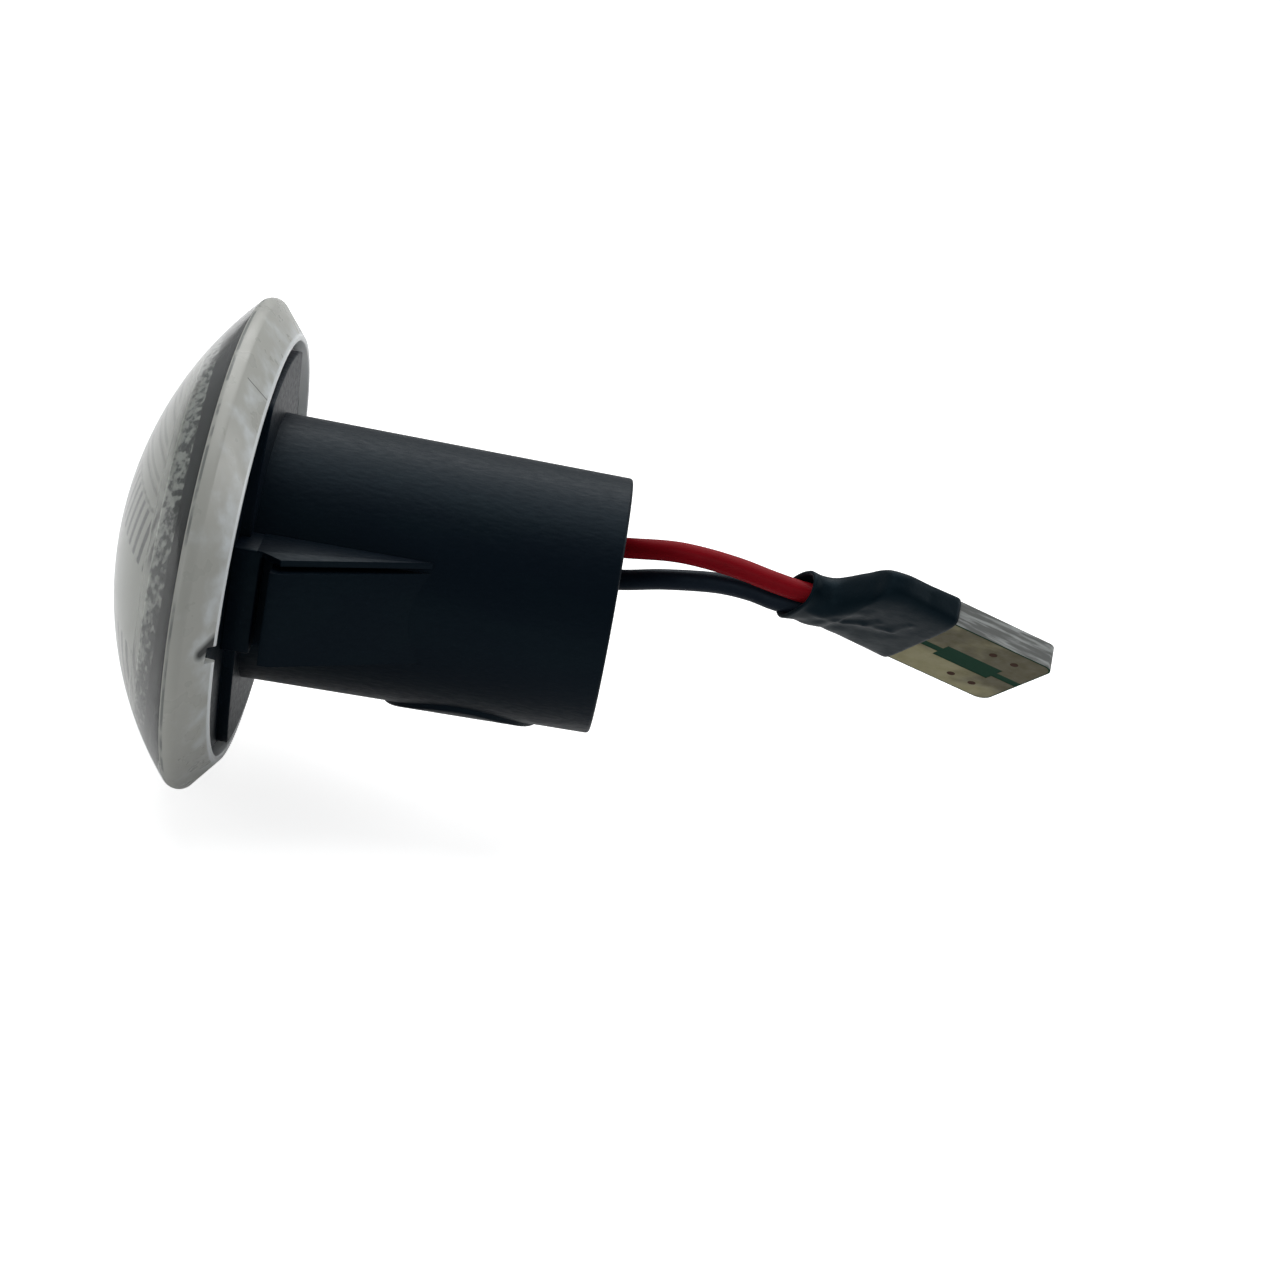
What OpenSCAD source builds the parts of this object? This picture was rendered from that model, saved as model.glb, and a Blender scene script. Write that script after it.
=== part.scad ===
// Side repeater lamp for a car wing: an oval clear lens on a black housing whose round tail goes
// through the body panel, with two leads that end in a wedge plug board.
// The origin is on the tail's axis, in the plane of the rim's back edge, which lies on the panel.
// +X runs back along the tail into the car, Y is the long axis of the lens and +Z is up.

/* [Lens] */
// Length of the lens along Y, over the rim
lens_l = 52; // [50:1:60]
// Height of the lens along Z, over the rim
lens_h = 38.6; // [38:0.2:46]
// Distance from the rim's outermost edge forward to the top of the dome
dome_h = 8.5; // [8:0.5:11]
// Distance from the rim's outermost edge back to the panel
rim_back = 2.66; // [2.4:0.02:3.4]
// Radius of the rim's edge
rim_r = 1; // [0.6:0.1:1.2]
// Distance from the outline of the rim in to the opening in its back
rim_inset = 3.1; // [2.9:0.1:3.5]
// Width of the flat land around that opening
land_w = 0.4; // [0.3:0.1:0.6]
// Wall of the dome
dome_wall = 1.9; // [1.6:0.1:2.2]
// Pitch of the flutes inside the dome
flute_pitch = 1.8; // [1.6:0.1:2.4]
// Height of the flutes
flute_h = 0.45; // [0.3:0.05:0.6]
// Half width of the plain band across the middle
plain_half = 2.7; // [2:0.1:3.4]
// Height above the middle where the level flutes start
level_z = 7.6; // [7:0.2:8.6]

/* [Housing] */
// Depth of the seat for the housing behind the rim's back edge
seat_depth = 1.6; // [1.5:0.1:1.8]
// Width of the ledge that the housing is welded to
seat_w = 1.5; // [1.3:0.1:1.8]
// Clearance between the housing and the lens around it
fit_gap = 0.15; // [0.1:0.05:0.2]
// Depth of the plate's back face below the rim's back edge
plate_depth = 0.7; // [0.5:0.1:0.9]
// Height of the raised pad above the rim's back edge
pad_rise = 0.2; // [0.1:0.1:0.5]
// Half width of the raised pad along Y at mid height
pad_half_w = 11.8; // [11.6:0.1:12.6]
// Margin between the opening and the raised pad's ends
pad_margin = 0.9; // [0.7:0.1:1.2]
// Height of the collar that stands up inside the lens
collar_h = 2.8; // [2.4:0.1:3]
// Wall of that collar
collar_wall = 1.1; // [0.9:0.1:1.3]
// Width of the locating tab
tab_w = 1; // [0.8:0.1:1.6]
// Reach of the locating tab into the rim
tab_l = 1.4; // [1:0.1:1.6]

/* [Tail] */
// Outer diameter of the tail where it meets the plate
tail_d = 21.8; // [21.2:0.1:22.4]
// Outer diameter at its open end
tail_end_d = 21.1; // [20.4:0.1:21.7]
// Distance from the panel to the tail's open end
tail_l = 28.7; // [26:0.1:34]
// Wall of the tail
tail_wall = 1.6; // [1.2:0.1:2]
// Radius on the edge of its open end
tail_edge_r = 0.4; // [0.2:0.1:0.6]
// Thickness of the floor that closes the tail at the plate
floor_t = 1.4; // [1.2:0.1:2]
// Diameter of the index pad under the tail
index_d = 13; // [11:0.5:14]
// Distance from the panel to the middle of that pad
index_x = 18; // [16.5:0.5:19.5]
// Height of the index pad
index_rise = 0.35; // [0.2:0.05:0.6]

/* [Snap hooks] */
// Width of a hook's tongue
hook_w = 7.6; // [6:0.2:8]
// Reach of a hook's tip from the tail's axis
hook_reach = 16.1; // [15.2:0.1:17]
// Gap between the panel plane and the hook's catch
hook_catch = 2.4; // [1.6:0.1:3.2]
// Flat length of the hook's tip
hook_tip = 0.8; // [0.5:0.1:1.4]
// Distance from the panel to where the hook's slope meets the tail
hook_end = 13; // [11:0.5:16]
// Height over the tail of the block that the hook stands on
hook_foot = 3.4; // [2.6:0.1:3.8]
// Length of the recess between that block and the catch
recess_l = 0.9; // [0.7:0.1:1.2]
// Height over the tail of that recess
recess_h = 1.2; // [0.8:0.1:1.8]
// Width of the slot between the tongue and the cheek beside it
slot_w = 0.4; // [0.3:0.1:0.6]
// Width of the cheek
cheek_w = 0.5; // [0.4:0.1:0.8]
// Length of the slant at the cheek's catch end
cheek_slant = 1.6; // [1.2:0.1:2]
// Distance that the cheek stays below the tongue's slope
cheek_drop = 0.7; // [0.4:0.1:1]

/* [Lighting] */
// Thickness of the light board
board_t = 1.2; // [1:0.1:1.4]
// Side of one square light
led_size = 3.5; // [3:0.1:3.8]
// Height of one light
led_h = 1.5; // [1.4:0.1:1.7]
// Spacing of the lights along Y
led_pitch_y = 6; // [5.4:0.1:6.2]
// Spacing of the rows along Z
led_pitch_z = 5.8; // [5.4:0.1:6]
// Length of a chip resistor
resistor_l = 3.2; // [2.4:0.2:3.4]
// Width of a chip resistor
resistor_w = 1.6; // [1.2:0.1:1.6]
// Length of the diode
diode_l = 3.8; // [3:0.2:4.4]
// Height of the chips behind the reflector
chip_h = 0.55; // [0.4:0.05:0.6]
// Wall of the reflector
mirror_t = 0.6; // [0.5:0.1:0.7]
// Clearance around each light in the reflector
mirror_gap = 0.2; // [0.15:0.05:0.3]
// Gap between the light board and the reflector's floor
mirror_lift = 0.8; // [0.7:0.05:0.9]

/* [Leads] */
// Diameter of a lead over its insulation
lead_d = 1.7; // [1.5:0.05:1.75]
// Diameter of the cable hole in the tail's floor
cable_hole_d = 7; // [6.5:0.5:8]
// Distance from the panel to the back of the cable seal
seal_back = 3; // [2.6:0.1:3.4]
// Margin of the cable seal around the cable hole
seal_margin = 1.4; // [1:0.1:2]

/* [Wedge plug] */
// Width of the wedge plug board
plug_w = 9.5; // [9:0.1:10]
// Thickness of the plug board
plug_t = 2.1; // [1.9:0.1:2.3]
// Length of the plug board that stands out of its sleeve
plug_out = 9.2; // [8.4:0.1:11]
// Length of the plug board held in its sleeve
plug_in = 6.2; // [5:0.1:6.3]
// Radius of its free corners
plug_corner_r = 1; // [0.5:0.1:1.5]
// Wall of the shrink sleeve
sleeve_wall = 0.4; // [0.3:0.05:0.5]
// Depth of the sleeve's open mouth
mouth_depth = 2; // [1.5:0.1:2.4]
// Width of the bare strip between the contacts
strip_w = 0.8; // [0.6:0.1:1]
// Width of the bare block in the middle of the strip
block_w = 2.2; // [1.8:0.1:2.8]
// Length of that block
block_l = 5.4; // [4.6:0.1:6]
// Distance from the sleeve to the middle of that block
block_x = 4; // [3.6:0.1:5]
// Margin around the contacts
contact_margin = 0.15; // [0.1:0.05:0.3]
// Thickness of a contact
contact_t = 0.12; // [0.1:0.02:0.2]
// Diameter of the pinholes in the contacts
pinhole_d = 0.55; // [0.4:0.05:0.7]
// Distance between the two pinholes of a contact
pinhole_pitch = 2.1; // [1.6:0.1:2.4]

/* [Hidden] */
seg = 64;         // points around an oval
lap = 0.01;       // overlap that makes two shapes of one piece meet
past = 1;         // how far a cut runs past the face that it opens

// Outline of the rim, and ovals set in from it by an even margin
half_l = lens_l / 2;
half_h = lens_h / 2;
function oval(x, inset, share = 1) =
    [for (i = [0:seg - 1]) let (a = -360 * i / seg)
        [x, share * (half_l - inset) * cos(a), share * (half_h - inset) * sin(a)]];

// The rim's edge is an arc between the dome and the slope behind it
rim_front_a = 44;
rim_back_a = 41;
function edge_x(a) = -rim_back - rim_r * sin(a);
function edge_ring(a) = oval(edge_x(a), rim_r * (1 - cos(a)));

// The dome is an arc over the short axis, stretched along the long one.
// share is how far a ring is from the middle towards the arc's foot.
function arc_rise(share, rise, half) =
    let (r = (half * half + rise * rise) / (2 * rise)) sqrt(r * r - share * share * half * half) - r + rise;
function dome_ring(share, x, inset, rise) = oval(x - arc_rise(share, rise, half_h - inset), inset, share);

// Seat for the housing and cavity in front of it
wall_draft = 0.3;
seat_inset = rim_inset + wall_draft;
cavity_inset = seat_inset + seat_w;
cavity_gap = 0.2;
cavity_x = -seat_depth - collar_h - mirror_t - cavity_gap;
cavity_rise = rim_back + dome_h - dome_wall + cavity_x;

// Flutes: upright ones above and below the plain band, and level ones at the top
flute_w = flute_pitch / 2;
flute_margin = 1.2;
flute_root = 0.3;

// Plate, pad and collar of the housing
plate_inset = seat_inset + fit_gap;
pad_inset = rim_inset + pad_margin;
pad_half_top = 20;
collar_inset = cavity_inset + fit_gap;
tab_z = -0.6;

// Tail
tail_r = tail_d / 2;
tail_end_r = tail_end_d / 2;
function tail_r_at(x) = tail_r + (tail_end_r - tail_r) * x / tail_l;
floor_back = floor_t - seat_depth;
tail_seg = 96;
hook_low = -3.9;

// Light board, the lights on it and the reflector over it
board_margin = 0.2;
board_inset = collar_inset + collar_wall + board_margin;
board_front = -seat_depth - board_t;
led_places = [for (row = [1, 0, -1], column = [-1.5:1:1.5]) [column * led_pitch_y, row * led_pitch_z]];
chip_z = led_pitch_z / 2;
mirror_front = -seat_depth - collar_h - mirror_t;
mirror_back = board_front - mirror_lift;
mirror_lean = 1.4;
mirror_lip = 0.3;

// Leads, as points chosen along each one from the seal to the plug
red_route = [[seal_back, 0.8, 2.2], [6, 0.8, 2.3], [10, 0.8, 2.6], [14, 0.7, 3.1], [18, 0.6, 3.7],
             [22, 0.3, 4.3], [26, -0.1, 4.9], [29.3, -0.6, 5.4], [32.5, -1.6, 6.1], [35, -2.6, 6.4],
             [38, -4, 6.5], [41, -5.6, 6.4], [43.7, -6.8, 6.4], [46.4, -7.2, 6.8]];
black_route = [[seal_back, 0.8, -0.6], [6, 0.8, -0.6], [10, 0.8, -0.4], [14, 0.7, 0], [18, 0.6, 0.6],
               [22, 0.4, 1.3], [26, 0, 2], [29.3, -0.5, 2.6], [32.5, -1.2, 3.5], [36.5, -2.4, 4.4],
               [39.2, -3.6, 4.7], [41.2, -4.8, 4.7], [43, -5.6, 4.8], [45.8, -6.2, 4.9]];

// The plug board's own frame starts at the sleeve's end: X to the free end, Y across it, Z through it
plug_pos = [53.7, -6.2, 4.8];
plug_turn = [-41, 19, 15];
plug_seg = 32;
pinhole_y = (plug_w / 2 + block_w / 2) / 2 - 0.1;
pinhole_x = block_x + 1.5;

// Sleeve sections in that frame: [x, y, half width, half height, squareness]
sleeve_flat = [plug_w / 2 + sleeve_wall, plug_t / 2 + sleeve_wall, 7];
sleeve_sections = [[0, 0, each sleeve_flat], [-plug_in - 0.2, 0, each sleeve_flat],
                   [-7.4, 1.2, 4.1, 1.7, 3.4], [-8.5, 2.4, 3, 1.7, 2.6],
                   [-9.6, 3.1, 2.6, 1.7, 2.4], [-10.6, 3.5, 2.8, 1.85, 2.4]];
mouth_start = 3;

function unit(v) = v / norm(v);

// Closed solid through a list of rings with equal counts of points, with a flat cap at each end.
// The points of a ring turn clockwise, seen along the way from one ring to the next.
module skin(rings) {
    n = len(rings[0]);
    m = len(rings);
    points = [for (ring = rings) each ring];
    sides = [for (j = [0:m - 2], i = [0:n - 1]) let (a = j * n + i, b = j * n + (i + 1) % n)
        each [[a, b, a + n], [b, b + n, a + n]]];
    first = [for (i = [n - 1:-1:0]) i];
    last = [for (i = [0:n - 1]) (m - 1) * n + i];
    polyhedron(points, concat([first], sides, [last]), convexity = 6);
}

// Round tube through the points of a route, which starts along X
function tube_ring(route, j, r, n) =
    let (before = route[max(j - 1, 0)],
         after = route[min(j + 1, len(route) - 1)],
         along = j == 0 ? [1, 0, 0] : unit(after - before),
         side = unit(cross([0, 0, 1], along)),
         up = cross(along, side))
    [for (i = [0:n - 1]) route[j] + r * (cos(360 * i / n) * up + sin(360 * i / n) * side)];
module tube(route, d, n = 8) {
    skin([for (j = [0:len(route) - 1]) tube_ring(route, j, d / 2, n)]);
}

// Extrudes a flat shape that is drawn in Y and Z, from one place on X to another
module along_x(from, to) {
    translate([from, 0, 0]) rotate([90, 0, 90]) linear_extrude(to - from) children();
}

module oval_2d(inset) {
    polygon([for (p = oval(0, inset)) [p[1], p[2]]]);
}

module oval_slab(inset, from, to) {
    along_x(from, to) oval_2d(inset);
}

// Solid that is turned about the tail's axis, from a profile of [radius, x]
module turned(profile, n = tail_seg) {
    rotate([0, 90, 0]) rotate_extrude($fn = n) polygon(profile);
}

// Lens: dome, rim, opening, seat and cavity in one closed surface
dome_steps = 9;
cavity_steps = 7;
module lens_shell() {
    skin(concat(
        [for (k = [1:dome_steps]) dome_ring(k / dome_steps, edge_x(rim_front_a),
            rim_r * (1 - cos(rim_front_a)), dome_h - rim_r * sin(rim_front_a))],
        [for (a = [29, 14, 0, -14, -28, -rim_back_a]) edge_ring(a)],
        [oval(0, rim_inset - land_w), oval(0, rim_inset)],
        [oval(-seat_depth, seat_inset), oval(-seat_depth, cavity_inset)],
        [for (k = [cavity_steps:-1:1]) dome_ring(k / cavity_steps, cavity_x, cavity_inset, cavity_rise)]));
}

// One flute: a low rounded rib on the inside of the dome, along places [y, z], drawn across one way
function cavity_share(y, z) = min(1, norm([y / (half_l - cavity_inset), z / (half_h - cavity_inset)]));
function ceiling_x(y, z) = cavity_x - arc_rise(cavity_share(y, z), cavity_rise, half_h - cavity_inset);
flute_section = [[-flute_root, -0.5], [-flute_root, 0.5],
                 [flute_h * 0.7, 0.35], [flute_h, 0], [flute_h * 0.7, -0.35]];
module flute(places, across) {
    skin([for (p = places) [for (c = flute_section)
        [ceiling_x(p[0], p[1]) + c[0], p[0] + c[1] * flute_w * across[0], p[1] + c[1] * flute_w * across[1]]]]);
}

module flutes() {
    reach_y = half_l - cavity_inset - flute_margin;
    reach_z = half_h - cavity_inset - flute_margin;
    count = floor(reach_y / flute_pitch);
    for (i = [-count:count]) {
        y = i * flute_pitch;
        end_z = reach_z * sqrt(1 - pow(y / reach_y, 2));
        top_z = min(end_z, level_z - flute_w);
        if (top_z > plain_half + flute_pitch)
            flute([for (k = [0:4]) [y, plain_half + (top_z - plain_half) * k / 4]], [1, 0]);
        if (end_z > plain_half + flute_pitch)
            flute([for (k = [0:5]) [y, -plain_half - (end_z - plain_half) * k / 5]], [-1, 0]);
    }
    for (z = [level_z:flute_pitch:reach_z]) {
        end_y = reach_y * sqrt(1 - pow(z / reach_z, 2));
        if (end_y > flute_pitch)
            flute([for (k = [-5:5]) [end_y * k / 5, z]], [0, -1]);
    }
}

// Locating tab at the near end of the plate, and with a gap the notch in the rim that takes it
module locating_tab(gap = 0) {
    root = half_l - plate_inset - 1;
    tip = half_l - plate_inset + tab_l + gap;
    back = gap > 0 ? past : -plate_depth;
    translate([-seat_depth - gap, -tip, tab_z - tab_w / 2 - gap])
        cube([back + seat_depth + gap, tip - root, tab_w + 2 * gap]);
}

module lens() {
    color([0.62, 0.62, 0.6, 0.6]) difference() {
        union() {
            lens_shell();
            flutes();
        }
        locating_tab(fit_gap);
    }
}

// Raised pad around the root of the tail, with bowed sides and the rim's own curve at its ends
module pad_2d() {
    intersection() {
        oval_2d(pad_inset);
        polygon([for (i = [0:seg - 1]) [pad_half_w * cos(360 * i / seg), pad_half_top * sin(360 * i / seg)]]);
    }
}

// Snap hook on one side of the tail: a wedge-shaped tongue whose catch takes the edge of the panel,
// and above it a thin cheek. The block at their foot ends in a recess before the catch.
module hook(side) {
    root = tail_r - tail_wall / 2;
    foot = tail_r + hook_foot;
    foot_x = hook_catch - recess_l;
    tip_x = hook_catch + hook_tip;
    end_y = tail_r_at(hook_end) - lap;
    cheek_x = foot_x + cheek_slant;
    cheek_y = end_y + (hook_reach - end_y) * (hook_end - cheek_x) / (hook_end - tip_x) - cheek_drop;
    block = [[-plate_depth - lap, root], [-plate_depth - lap, foot], [foot_x, foot]];
    slope_end = [[hook_end, end_y], [hook_end, root]];
    tongue = [each block, [foot_x, tail_r + recess_h], [hook_catch, tail_r + recess_h],
              [hook_catch, hook_reach], [tip_x, hook_reach], each slope_end];
    cheek = [each block, [cheek_x, cheek_y], each slope_end];
    upright(tongue, side, hook_low, hook_w);
    upright([each block, [foot_x, root]], side, hook_low + hook_w - lap, slot_w + 2 * lap);
    upright(cheek, side, hook_low + hook_w + slot_w, cheek_w);
}

// Extrudes the side view of a hook, with points [x, distance from the tail's axis], up from a height
module upright(points, side, from, width) {
    translate([0, 0, from]) linear_extrude(width) polygon([for (p = points) [p[0], side * p[1]]]);
}

// Round index pad on the underside of the tail
module index_pad() {
    intersection() {
        turned([[0, 0], [tail_r + index_rise, 0], [tail_end_r + index_rise, tail_l], [0, tail_l]]);
        translate([index_x, 0, -2 * tail_r]) cylinder(d = index_d, h = 2 * tail_r, $fn = 48);
    }
}

module housing() {
    edge_x = tail_l - tail_edge_r;
    color([0.07, 0.08, 0.09]) difference() {
        union() {
            oval_slab(plate_inset, -seat_depth, -plate_depth);
            along_x(-plate_depth - lap, pad_rise) pad_2d();
            oval_slab(collar_inset, -seat_depth - collar_h, -seat_depth + lap);
            turned([[0, -plate_depth - lap], [tail_r, -plate_depth - lap], [tail_r_at(edge_x), edge_x],
                    [tail_end_r - 0.3 * tail_edge_r, tail_l - 0.3 * tail_edge_r],
                    [tail_end_r - tail_edge_r, tail_l], [0, tail_l]]);
            hook(-1);
            hook(1);
            index_pad();
            locating_tab();
        }
        oval_slab(collar_inset + collar_wall, -seat_depth - collar_h - past, -seat_depth);
        turned([[0, floor_back], [tail_r - tail_wall, floor_back],
                [tail_end_r - tail_wall, tail_l], [tail_end_r - tail_wall, tail_l + past], [0, tail_l + past]]);
        translate([-seat_depth - past, 0, 0]) rotate([0, 90, 0])
            cylinder(d = cable_hole_d, h = floor_t + 2 * past, $fn = 48);
    }
}

// Reflector: a shallow tray with a lip that lies on the collar and a window for each light
module reflector() {
    top_inset = collar_inset + collar_wall + board_margin;
    floor_inset = top_inset + mirror_lean;
    lip_back = mirror_front + mirror_t;
    color([0.8, 0.8, 0.8]) difference() {
        union() {
            oval_slab(collar_inset + mirror_lip, mirror_front, lip_back);
            skin([oval(mirror_front + lap, top_inset), oval(lip_back, top_inset), oval(mirror_back, floor_inset)]);
        }
        skin([oval(mirror_front - past, top_inset + mirror_t), oval(mirror_front, top_inset + mirror_t),
              oval(mirror_back - mirror_t, floor_inset + mirror_t)]);
        for (p = led_places)
            at_light(p, mirror_back - mirror_t - past, led_size + 2 * mirror_gap, mirror_t + 2 * past);
    }
}

// Square block of one height along X, with its middle at a place on the light board
module at_light(place, from, side, height) {
    translate([from, place[0] - side / 2, place[1] - side / 2]) cube([height, side, side]);
}

module light_board() {
    color([0.85, 0.86, 0.84]) oval_slab(board_inset, board_front, -seat_depth);
}

module led(i) {
    color([0.93, 0.88, 0.6]) at_light(led_places[i], board_front - led_h, led_size, led_h);
}

// Chip on the light board, with its length along Y
module chip(y, z, l, shade) {
    color(shade) translate([board_front - chip_h, y - l / 2, z - resistor_w / 2]) cube([chip_h, l, resistor_w]);
}

// Cable seal: fills the cable hole and spreads over the floor of the tail
module cable_seal() {
    hole_r = cable_hole_d / 2;
    color([0.1, 0.1, 0.1]) turned([[0, -seat_depth], [hole_r, -seat_depth], [hole_r, floor_back],
        [hole_r + seal_margin, floor_back], [hole_r + seal_margin, seal_back - 0.8],
        [hole_r + seal_margin - 0.8, seal_back], [0, seal_back]], 48);
}

// Places its children in the plug board's frame
module at_plug() {
    translate(plug_pos) rotate(plug_turn) children();
}

// Ring of a section, thinner all round by a margin. It is an oval drawn towards a rectangle.
function squared(c, p) = sign(c) * pow(abs(c), 2 / p);
function sleeve_ring(s, margin = 0) =
    [for (i = [0:plug_seg - 1]) let (a = 360 * (i + 0.5) / plug_seg)
        [s[0], s[1] + (s[2] - margin) * squared(cos(a), s[4]), (s[3] - margin) * squared(sin(a), s[4])]];

module sleeve() {
    last = len(sleeve_sections) - 1;
    mouth = sleeve_sections[last];
    floor_s = [mouth[0] + mouth_depth, each [for (i = [1:4]) sleeve_sections[last - 2][i]]];
    beyond = [mouth[0] - past, each [for (i = [1:4]) mouth[i]]];
    color([0.08, 0.09, 0.11]) difference() {
        at_plug() difference() {
            skin([for (s = sleeve_sections) sleeve_ring(s)]);
            skin([for (s = [floor_s, sleeve_sections[last - 1], mouth, beyond]) sleeve_ring(s, sleeve_wall)]);
            plug_block();
        }
        tube(red_route, lead_d);
        tube(black_route, lead_d);
    }
}

// The plug board's body before the contacts are let in
module plug_block() {
    translate([0, 0, -plug_t / 2]) linear_extrude(plug_t) {
        translate([-plug_in, -plug_w / 2]) square([plug_in + plug_out - plug_corner_r, plug_w]);
        translate([0, plug_corner_r - plug_w / 2]) square([plug_out, plug_w - 2 * plug_corner_r]);
        for (side = [-1, 1])
            translate([plug_out - plug_corner_r, side * (plug_w / 2 - plug_corner_r)]) circle(r = plug_corner_r, $fn = 32);
    }
}

// One contact: side is -1 for the near half and 1 for the far one, face is 1 on top and -1 underneath
module contact(side, face) {
    inner_x = contact_margin - plug_in;
    end_x = plug_out - plug_corner_r;
    outer_y = plug_w / 2 - contact_margin;
    translate([0, 0, face > 0 ? plug_t / 2 - contact_t : -plug_t / 2]) linear_extrude(contact_t)
        difference() {
            scale([1, side]) union() {
                translate([inner_x, strip_w / 2]) square([end_x - inner_x, outer_y - strip_w / 2]);
                translate([0, strip_w / 2]) square([plug_out - contact_margin, plug_w / 2 - plug_corner_r - strip_w / 2]);
                translate([end_x, plug_w / 2 - plug_corner_r]) circle(r = plug_corner_r - contact_margin, $fn = 32);
            }
            translate([block_x - block_l / 2, -block_w / 2]) square([block_l, block_w]);
            for (k = [-0.5, 0.5])
                translate([pinhole_x + k * pinhole_pitch, side * pinhole_y]) circle(d = pinhole_d, $fn = 24);
        }
}

module plug_board() {
    color([0.08, 0.35, 0.26]) at_plug() difference() {
        plug_block();
        for (side = [-1, 1], face = [-1, 1])
            contact(side, face);
    }
}

module gold_contact(side, face) {
    color([0.65, 0.58, 0.42]) at_plug() contact(side, face);
}

lens();
housing();
reflector();
light_board();
led(0);  // led_1
led(1);  // led_2
led(2);  // led_3
led(3);  // led_4
led(4);  // led_5
led(5);  // led_6
led(6);  // led_7
led(7);  // led_8
led(8);  // led_9
led(9);  // led_10
led(10);  // led_11
led(11);  // led_12
chip(-led_pitch_y, chip_z, resistor_l, "dimgray");  // resistor_1
chip(0, chip_z, resistor_l, "dimgray");  // resistor_2
chip(led_pitch_y, chip_z, resistor_l, "dimgray");  // resistor_3
chip(0, -chip_z, diode_l, "black");  // diode
cable_seal();
color([0.62, 0.1, 0.16]) tube(red_route, lead_d);  // lead_red
color([0.08, 0.08, 0.09]) tube(black_route, lead_d);  // lead_black
sleeve();
plug_board();
gold_contact(-1, 1);  // contact_top_near
gold_contact(1, 1);  // contact_top_far
gold_contact(-1, -1);  // contact_under_near
gold_contact(1, -1);  // contact_under_far
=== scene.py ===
"""Looks of a side repeater lamp: moulded lens, black housing, light unit, leads, sleeve and wedge plug.

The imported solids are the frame, and every piece here lies where its solid is. Lengths are in millimetres
until a mesh is made. +X runs back into the car, +Y along the long axis of the lens and +Z up.
"""

import logging
import math
from dataclasses import dataclass
from enum import Enum
from typing import Sequence

import bpy
import numpy as np
from mathutils import Matrix, Vector


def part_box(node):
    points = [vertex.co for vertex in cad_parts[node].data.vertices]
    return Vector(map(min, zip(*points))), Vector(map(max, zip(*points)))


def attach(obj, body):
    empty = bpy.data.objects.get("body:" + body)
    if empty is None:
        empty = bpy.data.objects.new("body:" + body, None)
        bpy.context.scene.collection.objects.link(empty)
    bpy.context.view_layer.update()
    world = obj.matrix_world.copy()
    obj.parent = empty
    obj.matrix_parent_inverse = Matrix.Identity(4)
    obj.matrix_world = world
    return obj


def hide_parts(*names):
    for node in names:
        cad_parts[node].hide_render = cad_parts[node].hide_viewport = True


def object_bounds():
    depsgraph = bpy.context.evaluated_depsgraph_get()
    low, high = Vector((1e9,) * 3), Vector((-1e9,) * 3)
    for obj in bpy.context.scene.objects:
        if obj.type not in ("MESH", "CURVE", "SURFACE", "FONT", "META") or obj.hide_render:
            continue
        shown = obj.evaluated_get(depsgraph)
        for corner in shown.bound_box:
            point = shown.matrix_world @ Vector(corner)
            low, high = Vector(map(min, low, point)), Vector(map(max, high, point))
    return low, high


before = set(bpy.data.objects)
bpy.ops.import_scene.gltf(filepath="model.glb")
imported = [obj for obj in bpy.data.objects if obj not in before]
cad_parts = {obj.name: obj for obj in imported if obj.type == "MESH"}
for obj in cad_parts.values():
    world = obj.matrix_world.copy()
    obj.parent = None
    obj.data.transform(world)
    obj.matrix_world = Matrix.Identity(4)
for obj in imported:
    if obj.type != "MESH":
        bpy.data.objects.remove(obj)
CAD_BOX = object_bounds()

LOG = logging.getLogger("side_repeater")
MM = 0.001
BODY = "root"

GRAIN_DETAIL = 3.0
TINT_DETAIL = 4.0
NOISE_SPAN = (0.3, 0.7)
LEAST_ROUGHNESS = 0.02
PLASTIC_IOR = 1.49
STRAIGHT = math.radians(2)
MOST_CUT = 0.45
COARSE_COUNT = 192

Ring = np.ndarray
Point = tuple[float, float, float]
Pose = tuple[Point, Point]
Node = bpy.types.Node
Socket = bpy.types.NodeSocket
Tree = bpy.types.NodeTree
Object = bpy.types.Object

EVEN = (1.0, 1.0, 1.0)
HOME = ((0.0, 0.0, 0.0), (0.0, 0.0, 0.0))


class Slot(Enum):
    """Material slots of the record."""

    LENS = "clear_lens"
    HOUSING = "black_housing"
    TRAY = "mirror_tray"
    BOARD = "board_white"
    LIGHT = "led_yellow"
    CHIP = "chip_black"
    POTTING = "potting"
    RED = "lead_red"
    BLACK = "lead_black"
    SLEEVE = "shrink_sleeve"
    LAMINATE = "board_green"
    GOLD = "gold_contact"


def add_node(tree: Tree, kind: str, inputs: dict[str | int, object] | None = None, **settings: object) -> Node:
    """Adds a node to a tree.

    Args:
        tree: Node tree that gets it.
        kind: Type of the node.
        inputs: Fixed values, or sockets to link, by the name or number of the input.
        settings: Values of the node's own attributes.

    Returns:
        The node.
    """
    made = tree.nodes.new(kind)
    for name, value in settings.items():
        setattr(made, name, value)
    for key, value in (inputs or {}).items():
        if isinstance(value, bpy.types.NodeSocket):
            tree.links.new(value, made.inputs[key])
        else:
            made.inputs[key].default_value = value
    return made


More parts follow.
